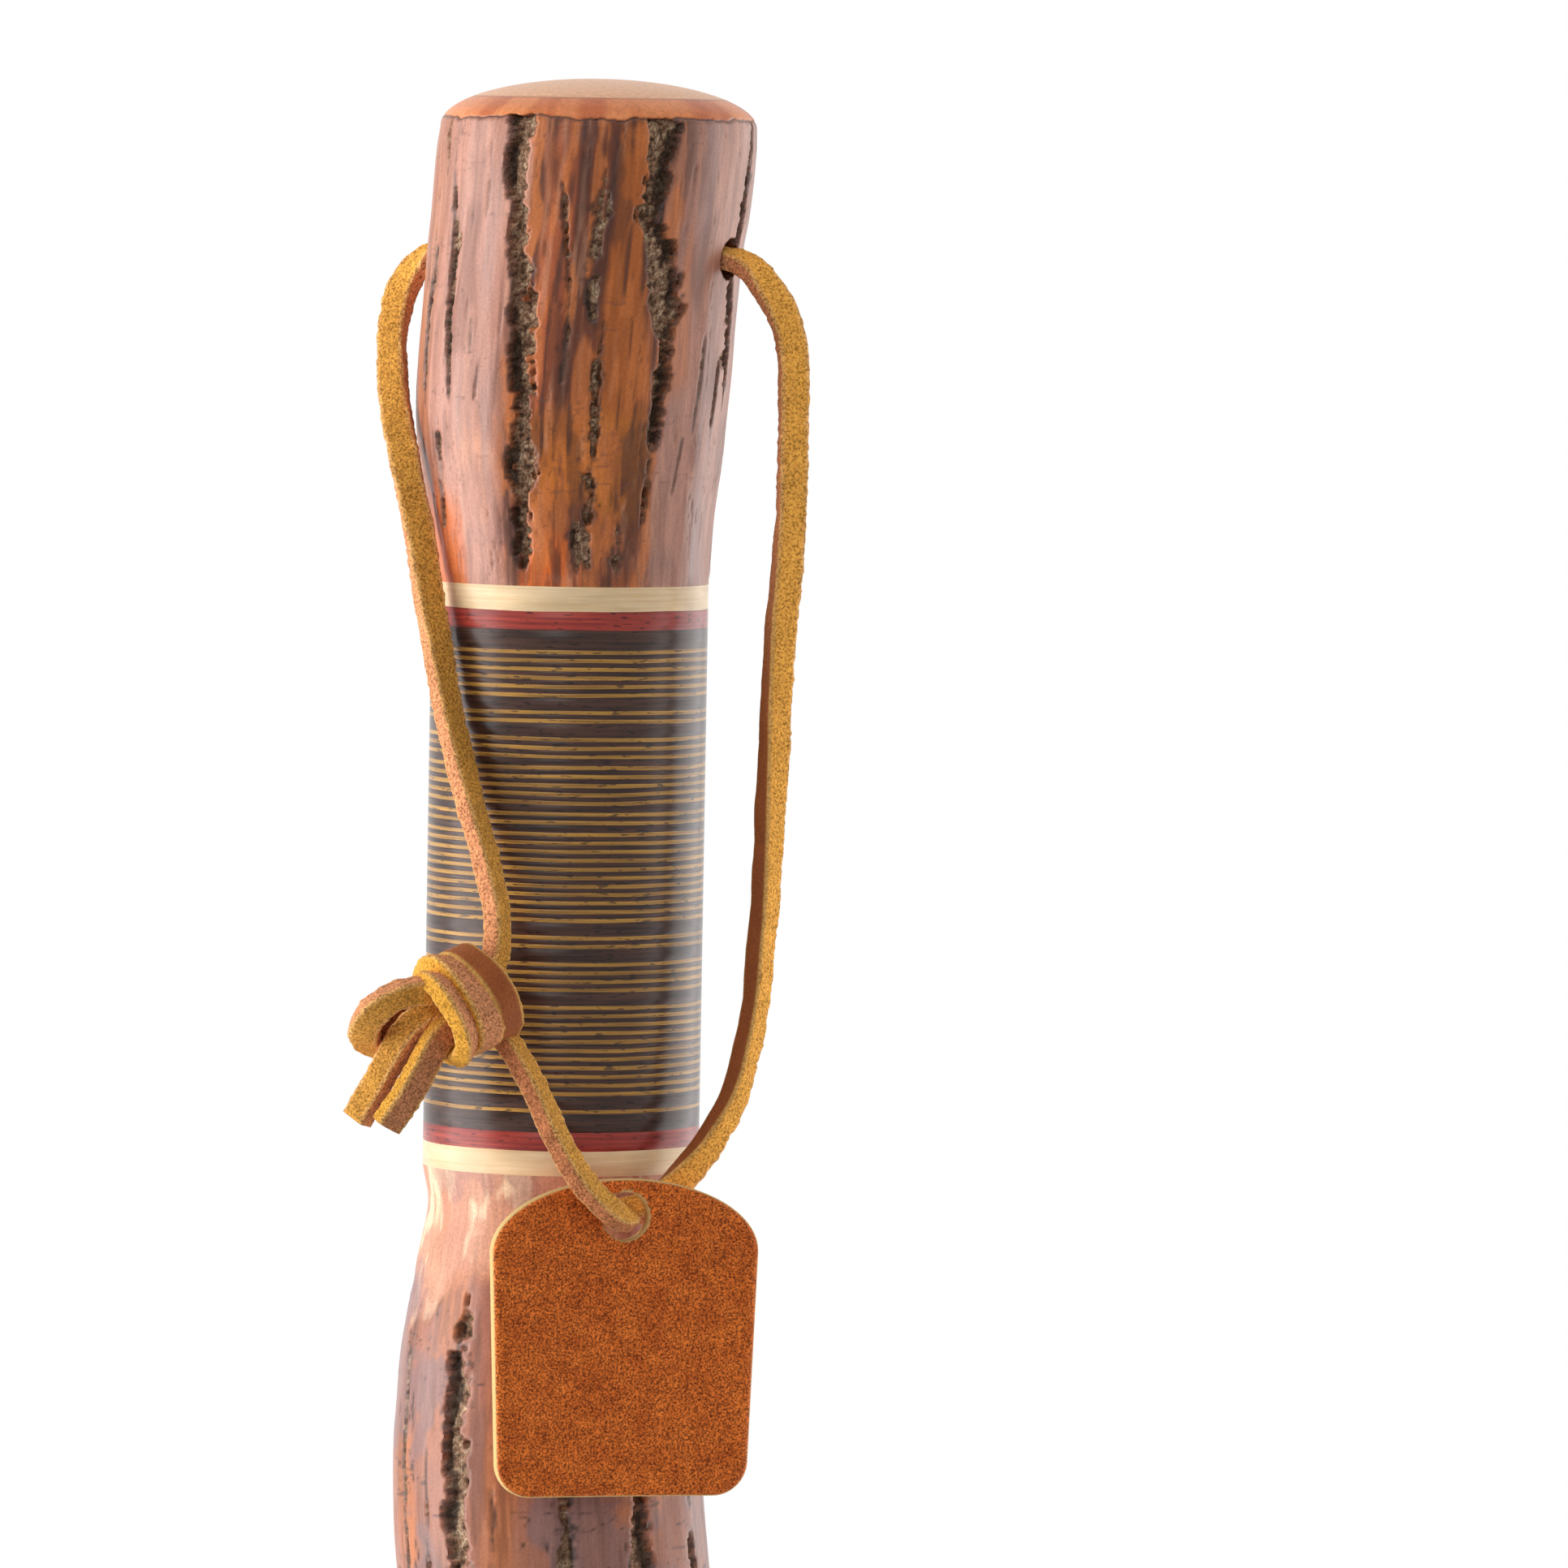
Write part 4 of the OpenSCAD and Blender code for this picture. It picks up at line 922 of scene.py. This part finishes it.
def make_head(material):
    """The barked head with its furrows, its sawn crown and the cross hole for the lace."""
    side_rows, crown_rows, columns = 236, 64, 470
    lift = np.radians(np.concatenate([np.zeros(side_rows), np.linspace(0, 87, crown_rows + 1)[1:]]))
    u = np.concatenate([np.linspace(0, 1, side_rows), np.ones(crown_rows)])[:, None]
    z = HEAD_Z + u * (HEAD_LENGTH - CROWN_H) + np.sin(lift)[:, None] * CROWN_H
    middle = curve_at(HEAD_SECTIONS, u, 1) * GRIP_D
    radius = curve_at(HEAD_SECTIONS, u, 2) * GRIP_D
    turn, east, north = directions(columns)
    spot = points_at(radius * east, radius * north, z)
    bark_u = (z - HEAD_Z) / HEAD_LENGTH
    depth, floor, edge, painted_shade = furrows(spot, turn, bark_u, radius, HEAD_FURROWS, 60)
    crack = cracks(spot, (0.0012, 0.02), 0.03, 70) * 0.6
    sway = (clouds(spot, (0.0018, 0.02), 4, 71) - 0.5) * math.radians(7)
    sway = sway + (clouds(spot, (0.011, 0.02), 2, 73) - 0.5) * math.radians(9)
    lift = np.broadcast_to(lift[:, None], spot.shape[:2])
    climb = lift + (u - 1) * (HEAD_LENGTH - CROWN_H) / CROWN_H + sway
    bark = 1 - ramp(climb, math.radians(BARK_END - 1.5), math.radians(BARK_END + 1.5))
    seam = bell(climb, math.radians(BARK_END), 0.026)
    dome = ramp(lift, math.radians(DOME_START - 0.5), math.radians(DOME_START + 1.5))
    rim_line = bell(lift, math.radians(DOME_START), 0.016)
    wave = clouds(spot, (0.009, 0.04), 3, 75) - 0.5
    cork = clouds(spot, 0.0009, 3, 78) - 0.5
    sunk = depth + CRACK_DEPTH * crack - wave * WAVE_H - floor * cork * CORK_H
    flat = radius * np.cos(lift) - sunk * bark * ramp(bark_u, 0, 0.03) - seam * 0.0003
    rings = points_at(middle + flat * east, flat * north, z)
    streak = clouds(spot, (0.0045, 0.05), 3, 81)
    thread = clouds(spot, (0.0011, 0.024), 3, 84)
    patch = clouds(spot, (0.008, 0.02), 3, 87)
    speckle = clouds(spot, 0.0006, 2, 90)
    grown = clouds(spot, (0.0022, 0.012), 3, 95)
    split = cracks(spot, (0.008, 0.0022), 0.02, 92)
    paint = painted(patch.shape, (172, 110, 82))
    stray = (patch - 0.5) * 0.14
    for at, half, low, high, colour, share in HEAD_STAINS:
        aside = np.abs((turn - at + 180) % 360 - 180) + (streak - 0.5) * 22
        inside = ramp(half - aside, -3, 4) * ramp(bark_u - low + stray, 0, 0.07)
        inside = inside * ramp(high - bark_u + stray, 0, 0.07)
        paint = layered(paint, (colour, inside * share))
    sides = ramp(np.abs(turn - 5), 28, 36)
    paint = layered(
        paint,
        # Grey-lavender streaks on the flanks: partly the bark's tone, partly painted sheen
        ((150, 124, 122), ramp(streak, 0.52, 0.7) * 0.45 * sides),
        ((110, 58, 36), ramp(patch, 0.56, 0.7) * 0.5),
        ((70, 36, 24), ramp(thread, 0.56, 0.68) * (0.75 - 0.55 * sides)),
        ((222, 164, 132), ramp(thread, 0.42, 0.28) * (0.3 - 0.14 * sides)),
        ((56, 28, 18), ramp(grown, 0.54, 0.63) * (1 - sides) * 0.5),
        ((212, 122, 62), ramp(grown, 0.48, 0.36) * (1 - sides) * 0.6),
        ((104, 66, 54), split * 0.5),
        ((60, 36, 28), crack * 0.7),
    )
    # Furrow floors take the cork's colour, with its painted shade
    paint = stain(paint, cork_paint(speckle, painted_shade), floor)
    # Dark furrow lips: partly a dark rim, partly painted shade
    paint = layered(paint, ((34, 20, 15), edge * 0.75))
    from_pith = np.hypot(rings[..., 0] - CROWN_PITH[0], rings[..., 1] - CROWN_PITH[1])
    growth = 0.5 + 0.5 * np.sin(from_pith / CROWN_RING_GAP * 2 * math.pi + 6 * (patch - 0.5))
    band = painted(patch.shape, (232, 142, 86), ((200, 106, 56), ramp(patch, 0.45, 0.65)))
    sawn = painted(patch.shape, (244, 184, 138), ((224, 160, 114), growth * 0.35))
    paint = stain(stain(paint, band, 1 - bark), sawn, dome)
    paint = layered(paint, ((150, 88, 56), rim_line * 0.7), ((52, 28, 20), seam * 0.9))
    shine = np.clip(1 - floor * bark - 0.4 * crack * bark, 0, 1)
    below = [level_ring(columns, BORE_R, 0, end) for end in (HEAD_Z + BORE_DEPTH, HEAD_Z)]
    head = wood_piece("head", below, rings, [], paint, shine)
    hole_turn = math.radians(HOLE_TURN)
    along = np.array([math.cos(hole_turn), -math.sin(hole_turn), 0])
    for k in drilled(head, HOLE_CENTRE, along, HOLE_D, 0.05):
        # The hole's wall is painted dark brown: painted shade inside the hole
        head.data.attributes["paint"].data[k].color = (*tint(96, 60, 40), 1.0)
        head.data.attributes["shine"].data[k].value = 0.0
    head.data.set_sharp_from_angle(angle=math.radians(72))
    return place_piece(head, "staff", material, "head")


def make_shaft(material):
    """The crooked shaft: furrowed bark above, mottled wood below and a peeled neck."""
    low_rows, high_rows, columns = 620, 236, 288
    low_z = np.linspace(FOOT_Z + SHAFT_FIRST_U * SHAFT_LENGTH, FINE_MESH_Z, low_rows)
    z = np.concatenate([low_z[:-1], np.linspace(FINE_MESH_Z, GRIP_Z, high_rows)])[:, None]
    u = (z - FOOT_Z) / SHAFT_LENGTH
    turn, east, north = directions(columns)
    middle_x = SHAFT_LEAN * (1 - curve_at(SHAFT_SECTIONS, u, 1))
    middle_y = -SHAFT_LEAN * curve_at(SHAFT_SECTIONS, u, 2)
    radius = curve_at(SHAFT_SECTIONS, u, 3) * GRIP_D / 2
    spot = points_at(radius * east, radius * north, z)
    depth, floor, edge, painted_shade = furrows(spot, turn, u, radius, SHAFT_FURROWS, 100)
    crack = cracks(spot, (0.0012, 0.024), 0.03, 110) * 0.6
    loose = warped(spot, 0.007, 146)
    border = clouds(loose, (0.01, 0.03), 4, 113) - 0.5
    peeled = ramp(u + border * 0.02, 0.973, 0.981)
    barked = ramp(u + border * 0.3, 0.55, 0.64) * (1 - peeled)
    bare = (1 - barked) * (1 - peeled)
    toe = ramp(u + border * 0.012, 0.036, 0.031)
    wave = clouds(spot, (0.009, 0.035), 3, 116) - 0.5
    cork = clouds(spot, 0.001, 3, 119) - 0.5
    scale = clouds(spot, (0.004, 0.011), 3, 122)
    ends = ramp(u, 1.0, 0.992) * ramp(u, SHAFT_FIRST_U, SHAFT_FIRST_U + 0.006)
    sunk = barked * (depth + CRACK_DEPTH * crack - floor * cork * CORK_H) - wave * WAVE_H
    sunk = sunk + bare * (ramp(scale, 0.45, 0.6) * 0.0006 + (cork + 0.5) * 0.0004)
    flat = radius - sunk * ends
    streak = clouds(spot, (0.006, 0.045), 3, 125)
    thread = clouds(spot, (0.0015, 0.02), 3, 128)
    patch = clouds(loose, (0.009, 0.022), 4, 131)
    speckle = clouds(spot, 0.0008, 2, 134)
    flake = clouds(loose, (0.007, 0.0032), 4, 137)
    broad = clouds(loose, (0.02, 0.04), 3, 140)
    split = cracks(spot, (0.008, 0.0022), 0.022, 143)
    pale = clouds(spot, (0.0024, 0.011), 3, 149)
    scales = 0.4 * patch + 0.25 * flake + 0.35 * broad + np.interp(u, *LOW_DARKNESS) - 0.5
    low = painted(
        flat.shape, (182, 108, 56),
        ((206, 136, 82), ramp(streak, 0.46, 0.3) * 0.6),
        ((122, 66, 34), ramp(flake, 0.5, 0.62) * 0.7),
        ((66, 38, 24), ramp(scales, 0.46, 0.53) * 0.92),
        ((40, 24, 17), ramp(thread + (scales - 0.5), 0.56, 0.7) * 0.7),
        ((170, 126, 92), ramp(speckle, 0.62, 0.72) * ramp(scales, 0.44, 0.52) * 0.6),
    )
    high = painted(
        flat.shape, (166, 108, 86),
        ((196, 118, 70), ramp(streak, 0.5, 0.66) * 0.8),
        ((132, 104, 104), ramp(patch, 0.48, 0.6) * 0.65),
        ((132, 70, 40), ramp(streak, 0.48, 0.34) * ramp(u, 0.93, 0.86) * 0.8),
        ((70, 40, 27), ramp(u + border * 0.1, 0.84, 0.62) * (0.45 + 0.4 * ramp(broad, 0.4, 0.6))),
        ((76, 42, 30), ramp(thread, 0.57, 0.72) * 0.4),
        ((54, 32, 24), np.clip(crack * 1.5, 0, 0.95)),
        ((58, 34, 26), split * 0.8),
    )
    # Furrow floors take the cork's colour, with its painted shade
    high = stain(high, cork_paint(speckle, painted_shade), floor)
    # Dark furrow lips: partly a dark rim, partly painted shade
    high = layered(high, ((30, 18, 13), edge * 0.8))
    neck = painted(
        flat.shape, (210, 150, 120),
        ((246, 218, 180), ramp(pale, 0.52, 0.62) * 0.8),
        ((196, 122, 92), ramp(streak, 0.5, 0.66) * 0.5),
        ((172, 122, 108), ramp(patch, 0.52, 0.66) * 0.6),
    )
    haze = bell(u + border * 0.01, 0.9765, 0.004) * ramp(patch, 0.4, 0.6)
    paint = stain(stain(low, high, barked), neck, peeled)
    paint = layered(paint, ((146, 116, 120), haze * 0.6), ((234, 194, 146), toe * 0.85))
    shine = np.clip(1 - 0.9 * floor * barked - 0.4 * crack * barked - 0.1 * peeled, 0, 1)
    shine = shine * (1 - 0.45 * bare)
    for at, place, size in SHAFT_KNOTS:
        away = np.radians((turn - 360 * place + 180) % 360 - 180)
        near, knot_r = np.abs(away) < 1, size * GRIP_D / 2
        rise = np.abs(z - FOOT_Z - at * SHAFT_LENGTH)
        reach = np.hypot(np.sin(away) * radius * 0.88, rise * (1.3 + 30 * np.abs(np.sin(away) * radius)))
        sawn = ramp(-reach, -knot_r, -knot_r + 0.0006) * near
        level = curve_at(SHAFT_SECTIONS, np.array([at]), 3)[0] * GRIP_D / 2 + 0.0006
        flat = flat + (level / np.maximum(np.cos(away), 0.3) - flat) * sawn
        rings_in = 0.5 + 0.5 * np.sin(reach / KNOT_RING_GAP * 2 * math.pi)
        eye = painted(flat.shape, (206, 158, 112), ((150, 92, 56), rings_in * 0.6),
                      ((84, 48, 30), ramp(-reach, -0.0035, -0.0015)))
        paint = stain(paint, eye, sawn)
        paint = layered(paint, ((58, 34, 24), bell(reach, knot_r + 0.0006, 0.0008) * near * 0.8))
    rings = points_at(middle_x + flat * east, middle_y + flat * north, z)
    below = [level_ring(columns, FOOT_R, FOOT_X, end) for end in (FOOT_Z, rings[0, 0, 2] - 0.0003)]
    above = [level_ring(columns, BORE_R, 0, end) for end in (GRIP_Z, GRIP_Z - BORE_DEPTH)]
    shaft = wood_piece("shaft", below, rings, above, paint, shine)
    shaft.data.set_sharp_from_angle(angle=math.radians(72))
    return place_piece(shaft, "staff", material, "shaft")


def disc(name, low, high):
    """One turned disc of the grip with eased edges and hand-laid, slightly uneven faces."""
    rim, eased = GRIP_D / 2, GRIP_D / 2 - EASE_R
    _, east, north = directions(RING_POINTS)
    rows = []
    for end, steps in ((low, ((BORE_R, -1), (eased, -1), (rim, 1))),
                       (high, ((rim, -1), (eased, 1), (BORE_R, 1)))):
        uneven = 0 if end in (GRIP_Z, HEAD_Z) else FACE_UNEVEN
        laid = clouds(level_ring(RING_POINTS, rim, 0, end), (0.016, 0.004), 2, 141) - 0.5
        height = end + laid * uneven
        rows += [points_at(r * east, r * north, height + way * EASE_H) for r, way in steps]
    made = tube(name, np.stack(rows), closed=True)
    made.data.set_sharp_from_angle(angle=math.radians(60))
    return made


def make_grip(pale, red, dark, gold):
    """The grip's rings and its stack of veneers, laminations and spacers."""
    rings = (("maple", MAPLE_T, pale, "pale_wood"), ("red", RED_T, red, "red_wood"),
             ("dark", DARK_RING_T, dark, "dark_wood"))
    for end, z, way in (("lower", GRIP_Z, 1), ("upper", HEAD_Z, -1)):
        for wood, thick, material, slot in rings:
            node = f"{end}_{wood}_ring"
            low, high = sorted((z, z + way * thick))
            place_piece(disc(node + "_turned", low, high), "staff", material, node)
            z += way * thick
    layers = {"gold_veneers": [], "dark_laminations": [], "dark_spacers": []}
    for group, count in enumerate(GOLD_GROUPS):
        stack = ([("gold_veneers", GOLD_T), ("dark_laminations", LAMINATION_T)] * count)[:-1]
        if group < len(SPACERS):
            stack.append(("dark_spacers", WIDE_SPACER_T if SPACERS[group] == "W" else SLIM_SPACER_T))
        for node, thick in stack:
            layers[node].append(disc("layer", z - thick, z))
            z -= thick
    for node, discs in layers.items():
        slot, material = ("gold_veneer", gold) if node == "gold_veneers" else ("dark_wood", dark)
        place_piece(joined(node + "_turned", discs), "staff", material, node)


def make_tip(material):
    """The rubber tip, turned from its outline."""
    rings = np.stack([level_ring(RING_POINTS, r, FOOT_X, SOLE_Z + z) for r, z in TIP_OUTLINE])
    tip = tube("rubber_tip_moulded", rings)
    tip.data.set_sharp_from_angle(angle=math.radians(50))
    return place_piece(tip, "tip", material, "rubber_tip")


def paint_node(node, material):
    """A material for a CAD node that is kept as it is."""
    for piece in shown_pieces():
        if piece.get("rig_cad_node") == node:
            piece.data.materials.clear()
            piece.data.materials.append(material)


def area_light(name, power, size, place, aim):
    """A white softbox at a place, turned to an aim and not seen by the camera."""
    data = bpy.data.lights.new(name, "AREA")
    data.shape, data.size, data.size_y = "RECTANGLE", *size
    data.energy = power
    light = in_scene(name, data)
    light.location = place
    light.rotation_mode = "QUATERNION"
    light.rotation_quaternion = (Vector(aim) - Vector(place)).to_track_quat("-Z", "Y")
    light.visible_camera = False


def worked_out(tree, operation, one, other):
    """A number from two others."""
    return add(tree, "ShaderNodeMath", {0: one, 1: other}, operation=operation).outputs[0]


def looked_at(tree):
    """1 for rays that show the surroundings themselves, 0 for rays that light the object."""
    path = add(tree, "ShaderNodeLightPath").outputs
    shown = worked_out(tree, "MAXIMUM", path["Is Camera Ray"], path["Is Glossy Ray"])
    return worked_out(tree, "MAXIMUM", shown, path["Is Transmission Ray"])


def make_surroundings():
    """White surroundings, two tall softboxes and two weak fills."""
    world = bpy.data.worlds.new("white")
    bpy.context.scene.world = world
    world.use_nodes = True
    tree = world.node_tree
    tree.nodes.clear()
    seen = add(tree, "ShaderNodeBackground", {"Color": (1, 1, 1), "Strength": 1.0})
    lit = add(tree, "ShaderNodeBackground", {"Color": (0.34, 0.34, 0.345), "Strength": 1.0})
    both = add(tree, "ShaderNodeMixShader", {0: looked_at(tree), 1: lit.outputs[0], 2: seen.outputs[0]})
    add(tree, "ShaderNodeOutputWorld", {"Surface": both.outputs[0]})
    area_light("left_softbox", 27, (1.0, 1.8), (-1.22, -0.09, -0.17), LIGHT_AIM)
    area_light("right_softbox", 17, (1.7, 1.8), (1.19, 0.45, -0.17), LIGHT_AIM)
    area_light("front_fill", 9, (1.0, 1.0), (-0.48, -2.2, 0.98), LIGHT_AIM)
    area_light("top_fill", 2.2, (0.9, 0.9), (-0.1, -0.4, 1.4), (0, 0, 0.1))


def make_floor():
    """A round floor under the tip that fades to white."""
    levels = (SOLE_Z - FLOOR_DROP - FLOOR_T, SOLE_Z - FLOOR_DROP)
    floor = tube("floor", np.stack([level_ring(96, FLOOR_R, FOOT_X, level) for level in levels]))
    material, tree, shader = new_material("floor")
    shade(shader, Base_Color=(0.95, 0.95, 0.95), Roughness=0.8)
    where = add(tree, "ShaderNodeTexCoord").outputs["Object"]
    far = add(tree, "ShaderNodeVectorMath", {0: where, 1: (FOOT_X, 0, SOLE_Z)}, operation="DISTANCE")
    fade = ranged(tree, far.outputs["Value"], 0.03, 0.3, 0.45, 1)
    glow = add(tree, "ShaderNodeEmission", {"Color": (1, 1, 1), "Strength": 1.0})
    share = worked_out(tree, "MULTIPLY", fade, looked_at(tree))
    both = add(tree, "ShaderNodeMixShader", {0: share, 1: shader.outputs[0], 2: glow.outputs[0]})
    tree.links.new(both.outputs[0], tree.nodes["Material Output"].inputs["Surface"])
    floor.data.materials.append(material)


make_camera()
leather = lace_material()
lace, lace_line = make_lace(leather)
knot = make_knot(leather)
loop, tails = make_ends(leather)
tag = make_tag(tag_material())

bark = bark_material()
make_head(bark)
make_shaft(bark)
make_grip(
    turned_material("maple", (240, 211, 170), (225, 189, 140), streak=0.8),
    turned_material("redheart", (178, 68, 56), (128, 46, 42), (74, 24, 22)),
    turned_material("dark_wood", (80, 52, 42), (44, 28, 22), (22, 13, 10)),
    turned_material("gold_veneer", (190, 142, 68), (142, 102, 50), (84, 60, 36)),
)
make_tip(plain_material("rubber", (40, 35, 34), (70, 61, 59), 700, 700, 0.55))
paint_node("core_dowel", plain_material("birch", (206, 170, 122), (228, 198, 152), 600, 60, 0.6))
paint_node("tip_washer", plain_material("zinc", (150, 152, 156), (196, 198, 200), 300, 300, 0.35, 1.0))
make_surroundings()
make_floor()

bpy.context.scene.view_settings.view_transform = "Standard"
bpy.context.view_layer.update()
